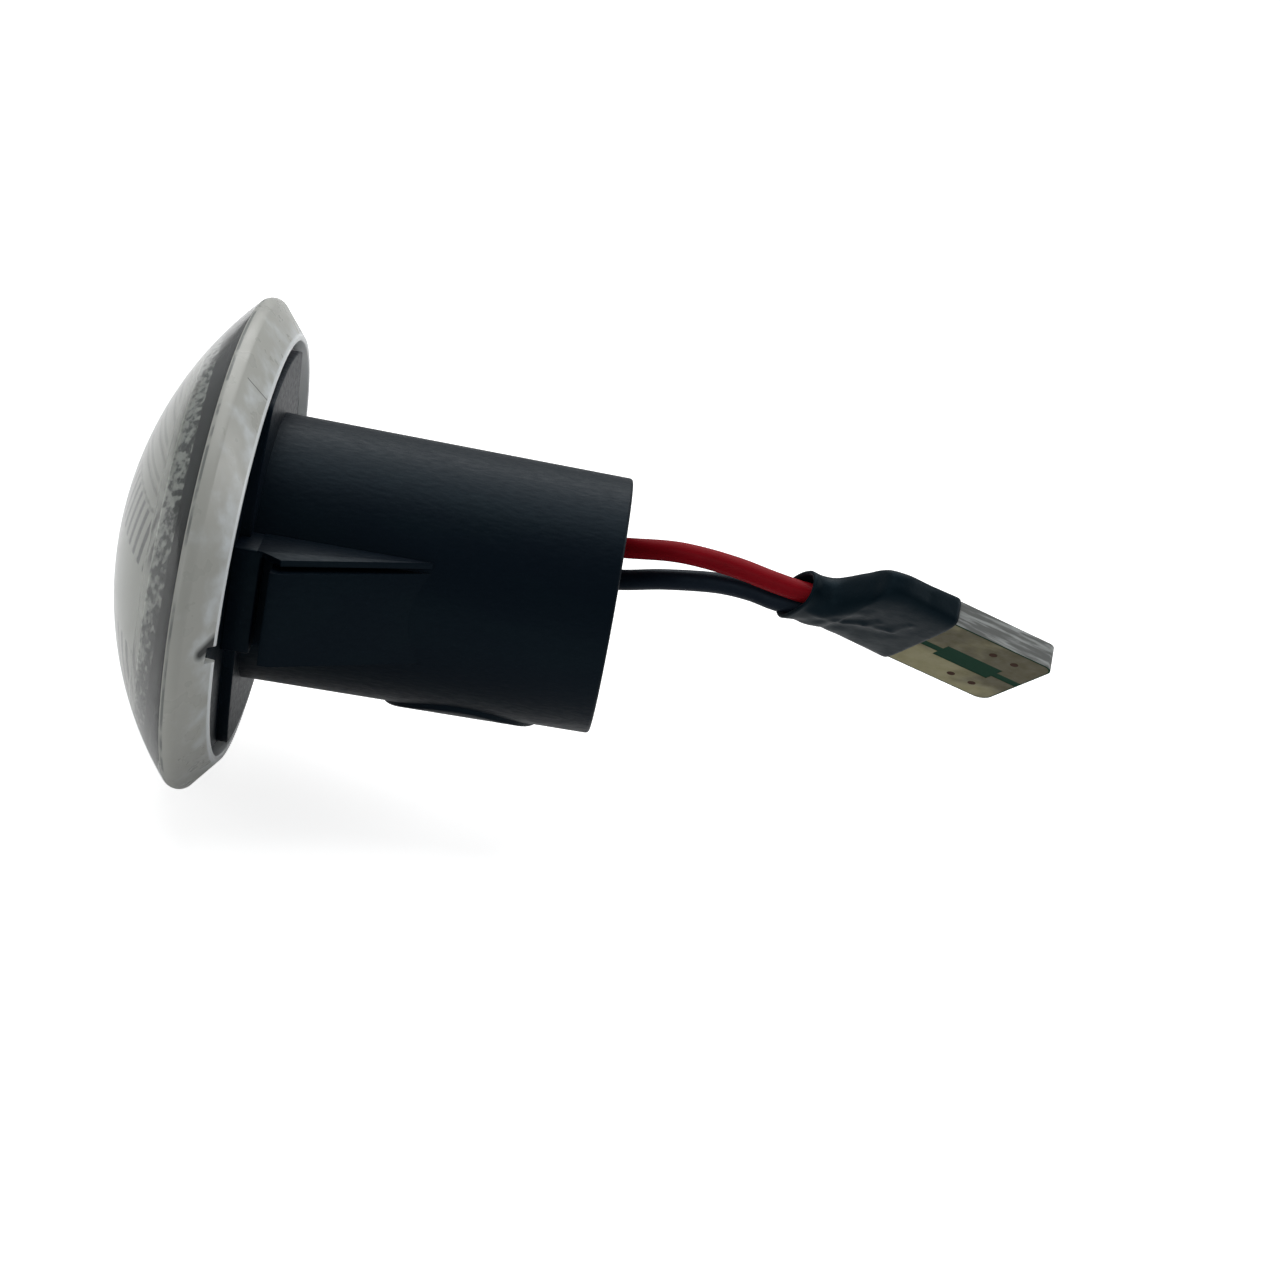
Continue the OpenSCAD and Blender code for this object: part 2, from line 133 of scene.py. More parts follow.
@dataclass
class Painter:
    """Builds the nodes of one material.

    Args:
        tree: Node tree of the material.
        paint: Colour so far, as four numbers or as the socket that gives it.
    """

    tree: Tree
    paint: "tuple[float, ...] | Socket"

    @property
    def shader(self) -> Node:
        """The shader of the material."""
        return self.tree.nodes["Principled BSDF"]

    def drive(self, label: str, socket: Socket) -> None:
        """Links a socket to an input of the shader."""
        self.tree.links.new(socket, self.shader.inputs[label])

    def place(self, stretch: Point = EVEN, pose: Pose = HOME) -> Socket:
        """Gives places on the object.

        Args:
            stretch: Scale along each axis.
            pose: Origin in millimetres and turn in degrees of the frame of the places.

        Returns:
            The places.
        """
        return add_node(self.tree, "ShaderNodeMapping", {
            "Vector": add_node(self.tree, "ShaderNodeTexCoord").outputs["Object"],
            "Location": [length * MM for length in pose[0]],
            "Rotation": [math.radians(angle) for angle in pose[1]],
            "Scale": [1.0 / share for share in stretch]}, vector_type="TEXTURE").outputs["Vector"]

    def noise(self, scale: float, detail: float, place: Socket) -> Socket:
        """Gives the level of a noise at each place."""
        inputs = {"Scale": scale, "Detail": detail, "Vector": place}
        return add_node(self.tree, "ShaderNodeTexNoise", inputs).outputs[0]

    def math(self, operation: str, *values: "Socket | float") -> Socket:
        """Gives the result of an operation on numbers."""
        return add_node(self.tree, "ShaderNodeMath", dict(enumerate(values)), operation=operation).outputs[0]

    def vector(self, operation: str, *values: "Socket | Sequence[float]", output: str = "Vector") -> Socket:
        """Gives the result of an operation on vectors."""
        made = add_node(self.tree, "ShaderNodeVectorMath", dict(enumerate(values)), operation=operation)
        return made.outputs[output]

    def ramp(self, value: Socket, low: float, high: float, kind: str = "LINEAR") -> Socket:
        """Gives a level that rises from 0 at low to 1 at high."""
        return add_node(self.tree, "ShaderNodeMapRange", {"Value": value, "From Min": low, "From Max": high},
                        interpolation_type=kind).outputs["Result"]

    def cover(self, level: Socket, color: Point) -> None:
        """Paints a colour over the one so far.

        Args:
            level: How much it covers at each place.
            color: Linear colour.
        """
        mix = add_node(self.tree, "ShaderNodeMix", {0: level, 6: self.paint, 7: (*color, 1.0)}, data_type="RGBA")
        self.paint = mix.outputs[2]
        self.drive("Base Color", self.paint)


@dataclass(frozen=True)
class Grain:
    """Fine noise of a surface.

    Args:
        scale: Cells of noise per metre.
        depth: Height of its relief, in metres.
        swing: How far it moves the roughness to each side.
        stretch: Scale along each axis, so that a low number draws the noise out.
    """

    scale: float
    depth: float = 0.0
    swing: float = 0.0
    stretch: Point = EVEN

    def apply(self, painter: Painter, roughness: float) -> None:
        """Adds relief and uneven roughness.

        Args:
            painter: Builder of the material.
            roughness: Roughness that the noise moves up and down.
        """
        level = painter.noise(self.scale, GRAIN_DETAIL, painter.place(self.stretch))
        if self.depth > 0:
            bump = add_node(painter.tree, "ShaderNodeBump", {"Distance": self.depth, "Height": level})
            painter.drive("Normal", bump.outputs["Normal"])
        if self.swing > 0:
            low, high = NOISE_SPAN
            swing = add_node(painter.tree, "ShaderNodeMapRange", {
                "Value": level, "From Min": low, "From Max": high,
                "To Min": max(LEAST_ROUGHNESS, roughness - self.swing), "To Max": roughness + self.swing})
            painter.drive("Roughness", swing.outputs["Result"])


@dataclass(frozen=True)
class Tint:
    """Second colour that shows in patches.

    Args:
        color: Linear colour of the patches.
        scale: Patches per metre.
        start: Noise level where the colour starts.
        end: Noise level where it is full.
        stretch: Scale along each axis.
        lean: Rise of the noise level per metre along each axis, which gathers the patches on one side.
        pose: Origin in millimetres and turn in degrees of the frame that it is laid out in.
    """

    color: Point
    scale: float
    start: float = 0.45
    end: float = 0.65
    stretch: Point = EVEN
    lean: Point = (0.0, 0.0, 0.0)
    pose: Pose = HOME

    def apply(self, painter: Painter) -> None:
        """Paints the patches.

        Args:
            painter: Builder of the material.
        """
        level = painter.noise(self.scale, TINT_DETAIL, painter.place(self.stretch, self.pose))
        if any(self.lean):
            slope = painter.vector("DOT_PRODUCT", painter.place(pose=self.pose), self.lean, output="Value")
            level = painter.math("ADD", slope, level)
        painter.cover(painter.ramp(level, self.start, self.end, "SMOOTHSTEP"), self.color)


@dataclass(frozen=True)
class FluteShade:
    """Painted shade between the flutes, as stripes in an oval: dark upright ones above and below a plain band, and
    finer level ones over them.

    Args:
        color: Linear colour of the painted shade in the upright stripes.
        pitch: Distance from one to the next, in millimetres.
        width: Width of one.
        plain_half: Half of the height of the plain band.
        top: Height where the upright stripes end and the level ones start.
        level_shade: Linear colour of the painted shade in the level stripes.
        level_pitch: Distance from one of them to the next.
        level_width: Width of one of them.
        reach: Half length and half height of the oval.
        blur: Width over which an edge fades.
    """

    color: Point
    pitch: float
    width: float
    plain_half: float
    top: float
    level_shade: Point
    level_pitch: float
    level_width: float
    reach: tuple[float, float]
    blur: float = 0.1

    def apply(self, painter: Painter) -> None:
        """Paints both kinds of shade stripes.

        Args:
            painter: Builder of the material.
        """
        place = painter.place()
        axes = add_node(painter.tree, "ShaderNodeSeparateXYZ", {0: place})
        along, height = axes.outputs["Y"], axes.outputs["Z"]
        oval = painter.vector("MULTIPLY", place, (0.0, *(1.0 / (MM * half) for half in self.reach)))
        inside = painter.ramp(painter.vector("LENGTH", oval, output="Value"), 1.0, 0.99)
        over = painter.ramp(height, self.top * MM, (self.top + self.blur) * MM)
        off_band = painter.ramp(painter.math("ABSOLUTE", height), self.plain_half * MM,
                                (self.plain_half + self.blur) * MM)
        for value, pitch, width, band, color in (
                (along, self.pitch, self.width, painter.math("SUBTRACT", off_band, over), self.color),
                (height, self.level_pitch, self.level_width, over, self.level_shade)):
            start = (pitch - width - self.blur) / 2
            level = painter.ramp(painter.math("PINGPONG", value, pitch / 2 * MM), start * MM,
                                 (start + self.blur) * MM)
            painter.cover(painter.math("MULTIPLY", painter.math("MULTIPLY", level, band), inside), color)


@dataclass(frozen=True)
class Mark:
    """Scratch or patch of painted shade along a straight line, in the lamp's frame.

    Args:
        start: One end of it, in millimetres.
        end: Its other end.
        half: Half of its width.
        blur: How far it fades out beyond that.
        color: Linear colour of the mark.
    """

    start: Point
    end: Point
    half: float
    blur: float
    color: Point

    def apply(self, painter: Painter) -> None:
        """Paints the mark.

        Args:
            painter: Builder of the material.
        """
        start = Vector(self.start) * MM
        run = Vector(self.end) * MM - start
        off = painter.vector("SUBTRACT", painter.place(), start)
        share = painter.vector("DOT_PRODUCT", off, run / run.length_squared, output="Value")
        foot = add_node(painter.tree, "ShaderNodeVectorMath", {0: run, "Scale": painter.ramp(share, 0.0, 1.0)},
                        operation="SCALE").outputs["Vector"]
        away = painter.vector("LENGTH", painter.vector("SUBTRACT", off, foot), output="Value")
        painter.cover(painter.ramp(away, (self.half + self.blur) * MM, self.half * MM), self.color)


@dataclass(frozen=True)
class Finish:
    """One surface finish, with linear colours.

    Args:
        name: Name of the material.
        color: Base colour.
        roughness: Roughness of the surface.
        metallic: 1 for bare metal.
        specular: Specular level, 0.5 for common plastic.
        shine: Tint of what the surface reflects.
        transmission: Share of light that goes through.
        subsurface: Weight of the light that scatters below the surface.
        grain: Fine noise, if the surface has some.
        layers: Patches, stripes and marks of other colours, some of them painted light or shade, the lowest first.
    """

    name: str
    color: Point
    roughness: float
    metallic: float = 0.0
    specular: float = 0.5
    shine: Point = EVEN
    transmission: float = 0.0
    subsurface: float = 0.0
    grain: Grain | None = None
    layers: "tuple[Tint | FluteShade | Mark, ...]" = ()

    def material(self) -> bpy.types.Material:
        """Makes the material, or finds it if it is there.

        Returns:
            The material of this finish.
        """
        known = bpy.data.materials.get(self.name)
        if known is not None:
            return known
        made = bpy.data.materials.new(self.name)
        made.use_nodes = True
        made.diffuse_color = (*self.color, 1.0)
        painter = Painter(made.node_tree, (*self.color, 1.0))
        for label, value in {
                "Base Color": (*self.color, 1.0), "Roughness": self.roughness, "Metallic": self.metallic,
                "Specular IOR Level": self.specular, "Specular Tint": (*self.shine, 1.0), "IOR": PLASTIC_IOR,
                "Transmission Weight": self.transmission, "Subsurface Weight": self.subsurface,
                "Subsurface Scale": MM}.items():
            painter.shader.inputs[label].default_value = value
        if self.grain is not None:
            self.grain.apply(painter, self.roughness)
        for layer in self.layers:
            layer.apply(painter)
        return made


BOARD_POSE = ((53.7, -6.2, 4.8), (-41.0, 19.0, 15.0))
SCRATCH = Mark((-1.72, -10.98, 16.87), (0.0, -10.03, 14.98), 0.03, 0.05, (0.13, 0.135, 0.13))
# Painted shade: a dark patch in the notch of the rim, where shade falls.
NOTCH_SHADE = Mark((-0.95, -24.4, -0.35), (-0.15, -23.5, 0.5), 0.2, 0.5, (0.02, 0.022, 0.023))
# The pale bluish patches, gathered towards the back of the rim, are partly scuffs and partly a painted sheen of the
# lamps.
RIM = Finish("lens_rim", (0.45, 0.455, 0.42), 0.34, grain=Grain(scale=420.0, swing=0.12), layers=(
    Tint((0.7, 0.74, 0.755), scale=430.0, start=0.3, end=0.75, lean=(110.0, 0.0, 0.0)), SCRATCH, NOTCH_SHADE))
# Painted shade: a darker streaky band on the front of the rim's round edge stands in for the dark inside seen
# refracted through the rim.
SEAM = Finish("lens_refraction_line", (0.42, 0.425, 0.395), 0.34, layers=(
    Tint((0.2, 0.21, 0.2), scale=420.0, start=0.42, end=0.55, stretch=(1.0, 1.0, 0.35)),))
# Painted highlight: a bright band on the lip and land, where the rim's inner edge catches the light.
LIP_HIGHLIGHT = Finish("lens_lip_highlight", (0.82, 0.85, 0.86), 0.25, transmission=0.1)
DOME = Finish("lens_dome", (0.8, 0.81, 0.78), 0.03, transmission=0.97)
FOOT = Finish("lens_foot", (0.8, 0.81, 0.79), 0.08, transmission=0.97,
              grain=Grain(scale=300.0, depth=0.00005, swing=0.05))
# Painted shade: the dark upright and level stripes between the flutes stand in for the dark inside seen through the
# clear lens.
FLUTED = Finish("lens_flutes_shaded", (0.37, 0.38, 0.35), 0.3, transmission=0.05, layers=(
    FluteShade((0.02, 0.025, 0.024), pitch=1.8, width=0.78, plain_half=3.0, top=6.5,
            level_shade=(0.2, 0.21, 0.19), level_pitch=0.9, level_width=0.3, reach=(19.5, 12.9)),))
# Painted shade: the dark band on the cavity wall stands in for the black collar seen through the clear lens.
WELD = Finish("lens_collar_shade", (0.022, 0.026, 0.026), 0.4, specular=0.2)
# The inner band of the wall has a rough flash relief; its dark colour is painted shade of the collar, and its pale
# specks, gathered towards the inside and the top, are painted glints.
FLASH = Finish("lens_flash_glints", (0.06, 0.067, 0.065), 0.3, specular=0.2,
               grain=Grain(scale=1800.0, depth=0.0002, swing=0.15), layers=(
                   Tint((0.5, 0.52, 0.49), scale=1500.0, start=0.68, end=0.92, lean=(-60.0, 0.0, 6.0)),))
HOUSING = Finish("housing_black", (0.0018, 0.0042, 0.0085), 0.42, specular=0.12, shine=(0.55, 0.83, 1.0),
                 grain=Grain(scale=2600.0, depth=0.00003, swing=0.07, stretch=(0.45, 1.0, 1.0)), layers=(
                     Tint((0.0022, 0.0055, 0.0095), scale=260.0, stretch=(0.35, 1.0, 1.0)),))
CHROME = Finish("tray_bright", (0.62, 0.63, 0.64), 0.2, metallic=1.0)
SOLDER_MASK_WHITE = Finish("board_mask_white", (0.78, 0.79, 0.77), 0.3)
LED_BODY = Finish("light_body", (0.8, 0.8, 0.78), 0.35)
PHOSPHOR = Finish("light_phosphor", (0.83, 0.62, 0.1), 0.4, subsurface=0.2)
CHIP = Finish("chip_resin", (0.02, 0.02, 0.022), 0.4)
TIN = Finish("chip_ends", (0.6, 0.6, 0.58), 0.3, metallic=1.0)
POTTING = Finish("seal_potting", (0.018, 0.018, 0.018), 0.3, grain=Grain(scale=350.0, depth=0.0002, swing=0.08))
RED = Finish("vinyl_red", (0.26, 0.004, 0.01), 0.4, specular=0.05, grain=Grain(scale=900.0, swing=0.06),
             layers=(Tint((0.23, 0.004, 0.009), scale=300.0),))
BLACK = Finish("vinyl_black", (0.007, 0.011, 0.019), 0.42, specular=0.14, shine=(0.6, 0.8, 1.0),
               grain=Grain(scale=900.0, swing=0.08))
# The lighter patches, gathered towards one side and the under side in the board's frame, are painted light.
SLEEVE = Finish("sleeve_shrink", (0.0035, 0.0085, 0.0125), 0.42, specular=0.1, shine=(0.45, 0.78, 1.0),
                grain=Grain(scale=900.0, depth=0.00005, swing=0.08), layers=(
                    Tint((0.018, 0.023, 0.026), scale=260.0, start=0.52, end=0.85, lean=(15.0, 70.0, -60.0),
                         pose=BOARD_POSE),))
LAMINATE = Finish("plug_laminate", (0.18, 0.186, 0.18), 0.75, specular=0.3, layers=(
    Tint((0.46, 0.48, 0.47), scale=3200.0, start=0.44, end=0.7, stretch=(0.1, 1.0, 1.0), pose=BOARD_POSE),))
MASK_GREEN = Finish("plug_mask_green", (0.003, 0.036, 0.018), 0.4, specular=0.02)
# The darker patches on the gold are partly stains and partly painted shade, gathered towards one corner of the
# contacts.
GOLD = Finish("plug_gold", (0.22, 0.2, 0.1), 0.42, metallic=0.5, specular=0.2,
              grain=Grain(scale=1100.0, depth=0.00003, swing=0.1), layers=(
                  Tint((0.07, 0.06, 0.024), scale=200.0, start=0.42, end=0.68, lean=(20.0, -30.0, 0.0),
                       pose=BOARD_POSE),))
PINHOLE = Finish("pinhole_brown", (0.04, 0.014, 0.005), 0.5, specular=0.05)


def link(name: str, data: bpy.types.ID) -> Object:
    """Puts a new object in the scene.

    Args:
        name: Name of the object.
        data: Its mesh, light or camera.

    Returns:
        The object.
    """
    made = bpy.data.objects.new(name, data)
    bpy.context.scene.collection.objects.link(made)
    return made


def smoothstep(low: float, high: float, value: np.ndarray) -> np.ndarray:
    """Rises smoothly from 0 at low to 1 at high."""
    t = np.clip((value - low) / (high - low), 0.0, 1.0)
    return t * t * (3.0 - 2.0 * t)


def circle(count: int) -> tuple[np.ndarray, np.ndarray]:
    """Gives cosine and sine of one turn in even steps, clockwise as seen along the way."""
    angles = -2 * np.pi * np.arange(count) / count
    return np.cos(angles), np.sin(angles)


def ring_of(x: float | np.ndarray, y: float | np.ndarray, z: float | np.ndarray) -> Ring:
    """Gives the points of a ring, where a single number holds for all of them."""
    return np.stack(np.broadcast_arrays(x, y, z), 1)


def fillet(corners: Sequence[tuple[float, float]], radius: float, steps: int = 4) -> list[tuple[float, float]]:
    """Rounds the inner corners of an open outline.

    Args:
        corners: Corner points of the outline.
        radius: Radius at each inner corner, less where a side is short.
        steps: Points of each rounding, less one.

    Returns:
        The rounded outline, with the same first and last point.
    """
    made = [corners[0]]
    for before, corner, after in zip(corners, corners[1:], corners[2:]):
        c = Vector(corner)
        a, b = Vector(before) - c, Vector(after) - c
        half = a.angle(b, math.pi) / 2
        if abs(half - math.pi / 2) < STRAIGHT:
            made.append(corner)
            continue
        cut = min(radius / math.tan(half), MOST_CUT * a.length, MOST_CUT * b.length)
        start, end = c + a.normalized() * cut, c + b.normalized() * cut
        for k in range(steps + 1):
            t = k / steps
            made.append(tuple((1 - t) ** 2 * start + 2 * t * (1 - t) * c + t * t * end))
    made.append(corners[-1])
    return made


def catmull(points: np.ndarray, steps: int) -> np.ndarray:
    """Draws a smooth line through points.

    Args:
        points: The points, one per row.
        steps: Steps between one point and the next.

    Returns:
        The points of the smooth line.
    """
    ends = np.vstack([2 * points[0] - points[1], points, 2 * points[-1] - points[-2]])
    made = []
    for i in range(len(points) - 1):
        p0, p1, p2, p3 = ends[i:i + 4]
        for t in np.arange(steps) / steps:
            made.append(0.5 * (2 * p1 + (p2 - p0) * t + (2 * p0 - 5 * p1 + 4 * p2 - p3) * t ** 2
                               + (3 * p1 - p0 - 3 * p2 + p3) * t ** 3))
    return np.array([*made, points[-1]])


@dataclass
class Shape:
    """Points in millimetres and faces that index them."""

    points: np.ndarray
    faces: list[tuple[int, ...]]

    def piece(
        self, name: str, finishes: Sequence[Finish], slot: Slot, nodes: Sequence[str],
        zones: Sequence[int] | None = None, sharp: float = 35.0, bevel: float = 0.0, cutter: "Shape | None" = None,
    ) -> Object:
        """Makes the shape a piece of the lamp.

        Args:
            name: Name of the piece.
            finishes: Its finishes, the first one by default.
            slot: Material slot of the record. Not used.
            nodes: Solids that it stands for.
            zones: Index of the finish of each face, where there are several.
            sharp: Angle over which an edge stays sharp, in degrees.
            bevel: Width of a rounding on its edges, in millimetres.
            cutter: Shape that is cut out of it, if any.

        Returns:
            The piece, which rides on the lamp's body.
        """
        mesh = self.mesh(name)
        for finish in finishes:
            mesh.materials.append(finish.material())
        if zones is not None:
            mesh.polygons.foreach_set("material_index", np.asarray(zones, np.int32))
        mesh.validate()
        made = link(name, mesh)
        if bevel > 0:
            modify(made, "BEVEL", width=bevel * MM, segments=3, angle_limit=math.radians(sharp))
        if cutter is not None:
            tool = link("cutter", cutter.mesh("cutter"))
            modify(made, "BOOLEAN", operation="DIFFERENCE", object=tool)
            bpy.data.objects.remove(tool)
        return register(made, nodes, sharp)

    def mesh(self, name: str) -> bpy.types.Mesh:
        """Makes a mesh of the shape, in metres.

        Args:
            name: Name of the mesh.

        Returns:
            The mesh.
        """
        made = bpy.data.meshes.new(name)
        made.from_pydata((self.points * MM).tolist(), [], self.faces)
        return made


def register(made: Object, nodes: Sequence[str], sharp: float = 35.0) -> Object:
    """Smooths a piece, ties it to the lamp's body and hides the solids that it stands for.

    Args:
        made: The piece.
        nodes: Solids that it stands for, if any.
        sharp: Angle over which an edge stays sharp, in degrees.

    Returns:
        The same piece.
    """
    made.data.shade_smooth()
    made.data.set_sharp_from_angle(angle=math.radians(sharp))
    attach(made, BODY)
    if nodes:
        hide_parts(*nodes)
    LOG.info("%s: %d faces", made.name, len(made.data.polygons))
    return made


def modify(made: Object, kind: str, inputs: dict[str, float] | None = None, **settings: object) -> None:
    """Changes the mesh of a piece by a modifier.

    Args:
        made: The piece.
        kind: Type of the modifier.
        inputs: Values for the inputs of its node group, by identifier.
        settings: Values of its own attributes.
    """
    modifier = made.modifiers.new(kind, kind)
    for name, value in settings.items():
        setattr(modifier, name, value)
    for key, value in (inputs or {}).items():
        modifier[key] = value
    graph = bpy.context.evaluated_depsgraph_get()
    baked = bpy.data.meshes.new_from_object(made.evaluated_get(graph))
    made.modifiers.clear()
    old = made.data
    made.data = baked
    bpy.data.meshes.remove(old)
    baked.name = made.name


def loft(rings: Sequence[Ring], looped: bool = False) -> Shape:
    """Joins rings of equal counts of points into a solid.

    Args:
        rings: The rings. Their points turn counter-clockwise, seen along the way.
        looped: Whether the last ring joins the first one, in place of a cap at each end.

    Returns:
        The solid, with its faces outward.
    """
    count = len(rings[0])
    faces = []
    for j in range(len(rings) if looped else len(rings) - 1):
        this, after = j * count, (j + 1) % len(rings) * count
        for i in range(count):
            k = (i + 1) % count
            faces.append((this + i, after + i, after + k, this + k))
    if not looped:
        last = (len(rings) - 1) * count
        faces += [tuple(range(count)), tuple(last + i for i in reversed(range(count)))]
    return Shape(np.vstack(rings), faces)


def lathe(profile: Sequence[tuple[float, float]], count: int, looped: bool = True) -> Shape:
    """Turns an outline about the tail's axis.

    Args:
        profile: Points [x, radius] of the outline, which runs +X on its outside.
        count: Steps of the turn.
        looped: Whether the outline is closed, for a ring, in place of a cap at each end.

    Returns:
        The solid.
    """
    c, s = circle(count)
    return loft([ring_of(x, r * c, r * s) for x, r in profile], looped)


def show(node: str, finish: Finish) -> Object:
    """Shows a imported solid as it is, with a finish.

    Args:
        node: Name of the solid.
        finish: Its finish.

    Returns:
        The solid.
    """
    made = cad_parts[node]
    made.data.materials.clear()
    made.data.materials.append(finish.material())
    LOG.info("%s: the solid as it is", node)
    return made


def block(low: Point, high: Point) -> Shape:
    """Makes a box.

    Args:
        low: Its lowest corner.
        high: Its highest corner.

    Returns:
        The box.
    """
    (x0, y0, z0), (x1, y1, z1) = low, high
    ring = [(y0, z0), (y0, z1), (y1, z1), (y1, z0)]
    return loft([np.array([(x, y, z) for y, z in ring]) for x in (x0, x1)])


@dataclass(frozen=True)
class Oval:
    """Outline of the lens and the ovals set in from it.

    Args:
        half_l: Half of its length, along Y.
        half_h: Half of its height, along Z.
        count: Points of an oval.
    """

    half_l: float
    half_h: float
    count: int = 448

    def ring(self, x: float | np.ndarray, inset: float, share: float = 1.0) -> Ring:
        """Gives the oval at a place along X, with a margin from the outline and then scaled by a share."""
        c, s = circle(self.count)
        return ring_of(x, share * (self.half_l - inset) * c, share * (self.half_h - inset) * s)

    def coarse(self) -> "Oval":
        """Gives the same outline with fewer points, for what the lens holds."""
        return Oval(self.half_l, self.half_h, COARSE_COUNT)


LENS_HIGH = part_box("lens")[1]
HOUSING_LOW, HOUSING_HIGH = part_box("housing")
OUTLINE = Oval(LENS_HIGH.y / MM, LENS_HIGH.z / MM)


class Zone(Enum):
    """Parts of the lens that differ in finish, as indices of its materials."""

    RIM = 0
    FOOT = 1
    DOME = 2
    FLUTES = 3
    WELD = 4
    FLASH = 5
    LIP_HIGHLIGHT = 6
    SEAM = 7


@dataclass
class Lens:
    """Clear moulding with a domed front, a thick rim and flutes on its inside."""

    rim_back: float = 2.66
    rim_r: float = 1.0
    dome_h: float = 8.41
    dome_wall: float = 1.9
    rim_inset: float = 3.1
    land_w: float = 0.4
    lip_highlight_h: float = 0.17
    refraction_from: float = 33.0
    refraction_to: float = 19.0
    seat_depth: float = 1.6
    seat_inset: float = 3.4
    cavity_inset: float = 4.9
    cavity_x: float = -5.2
    rim_front_a: float = 44.0
    rim_back_a: float = 41.0
    flute_pitch: float = 1.8
    flute_w: float = 1.1
    flute_h: float = 0.45
    flute_margin: float = 1.2
    flute_share: float = 0.965
    flute_fade: float = 0.5
    level_fade: float = 0.2
    plain_half: float = 2.7
    level_z: float = 7.6
    foot_share: float = 0.86
    collar_shade_front: float = -3.0
    collar_shade_edge: float = 0.01
    notch_tip: float = 24.0
    notch_low: float = -1.25
    notch_high: float = 0.05
    notch_l: float = 2.0
    notch_sunk: float = 0.15
    notch_back: float = 1.0
    tip_share: float = 0.02
    inner_foot_share: float = 0.93
    corner_r: float = 0.16
    lip_at: float = 0.08
    seat_edge: float = 0.1
    dome_steps: int = 40
    rim_steps: int = 14
    inside_steps: int = 84

    def edge(self, degrees: float) -> Ring:
        """Gives a ring on the rounded edge of the rim, at an angle that is positive towards the dome."""
        a = math.radians(degrees)
        return OUTLINE.ring(-self.rim_back - self.rim_r * math.sin(a), self.rim_r * (1 - math.cos(a)))

    def arc(self, share: np.ndarray | float, rise: float, half: float) -> np.ndarray | float:
        """Gives the height of an arc over its chord, at a share of its half chord from the middle."""
        r = (half * half + rise * rise) / (2 * rise)
        return np.sqrt(r * r - np.square(share) * half * half) - r + rise

    def flutes(self, y: np.ndarray, z: np.ndarray) -> np.ndarray:
        """Gives the height of the flutes on the inside of the dome.

        Args:
            y: Places along the lens.
            z: Heights of those places.

        Returns:
            The height of the flutes at each place.
        """
        def ribs(place: np.ndarray) -> np.ndarray:
            """Gives the share of the height that ribs have at each place across them."""
            off = np.abs(place - np.round(place / self.flute_pitch) * self.flute_pitch)
            return 1.0 - smoothstep(0.0, self.flute_w / 2, off)

        reach_y = OUTLINE.half_l - self.cavity_inset - self.flute_margin
        reach_z = OUTLINE.half_h - self.cavity_inset - self.flute_margin
        inside = 1.0 - smoothstep(self.flute_share, 1.0, np.hypot(y / reach_y, z / reach_z))
        split, plain, fade = self.level_z - self.flute_w / 2, self.plain_half, self.flute_fade
        upper = smoothstep(plain, plain + fade, z) * (1 - smoothstep(split - fade, split, z))
        level = smoothstep(split, split + self.level_fade, z)
        upright = np.maximum(upper, smoothstep(plain, plain + fade, -z))
        return self.flute_h * inside * (upright * ribs(y) + level * ribs(z - self.level_z))

    def strips(self) -> list[tuple[Ring, Zone]]:
        """Works out the moulding from the dome's top over the rim to the inside.

        Returns:
            Each ring, with the zone of the strip after it.
        """
        front, back = math.radians(self.rim_front_a), math.radians(self.rim_back_a)
        inset = self.rim_r * (1 - math.cos(front))
        foot_x = -self.rim_back - self.rim_r * math.sin(front)
        rise = self.dome_h - self.rim_r * math.sin(front)
        made = [(OUTLINE.ring(foot_x - self.arc(share, rise, OUTLINE.half_h - inset), inset, share),
                 Zone.DOME if share < self.foot_share else Zone.FOOT)
                for share in np.linspace(self.tip_share, 1.0, self.dome_steps)]
        # The refraction-line band on the rim's round edge is painted shade, not a feature of the moulding.
        made += [(self.edge(degrees), Zone.SEAM if self.refraction_to < degrees < self.refraction_from else Zone.RIM)
                 for degrees in np.linspace(self.rim_front_a, -self.rim_back_a, self.rim_steps)[1:]]
        slope = (-self.rim_back + self.rim_r * math.sin(back), self.rim_r * (1 - math.cos(back)))
        lip = (self.lip_at * slope[0], (1 - self.lip_at) * (self.rim_inset - self.land_w) + self.lip_at * slope[1])
        corners = [slope, lip, (0.0, self.rim_inset - self.land_w), (0.0, self.rim_inset),
                   (-self.seat_depth, self.seat_inset), (-self.seat_depth, self.cavity_inset),
                   (self.collar_shade_front, self.cavity_inset), (self.cavity_x, self.cavity_inset)]
        # Past the rim, the lip band is a painted highlight, the next band on the wall is painted shade of the collar
        # seen through it, and the last band is dark with painted glints.
        ends = ((-self.lip_highlight_h, Zone.LIP_HIGHLIGHT), (self.seat_edge - self.seat_depth, Zone.RIM),
                (self.collar_shade_front + self.collar_shade_edge, Zone.WELD), (-math.inf, Zone.FLASH))
        made += [(OUTLINE.ring(x, margin), next(zone for end, zone in ends if x > end))
                 for x, margin in fillet(corners, self.corner_r)[1:]]
        rise, half = self.rim_back + self.dome_h - self.dome_wall + self.cavity_x, OUTLINE.half_h - self.cavity_inset
        for share in np.linspace(1.0, self.tip_share, self.inside_steps)[1:]:
            flat = OUTLINE.ring(self.cavity_x - self.arc(share, rise, half), self.cavity_inset, share)
            flat[:, 0] += self.flutes(flat[:, 1], flat[:, 2])
            made.append((flat, Zone.FLUTES if share < self.inner_foot_share else Zone.FOOT))
        return made

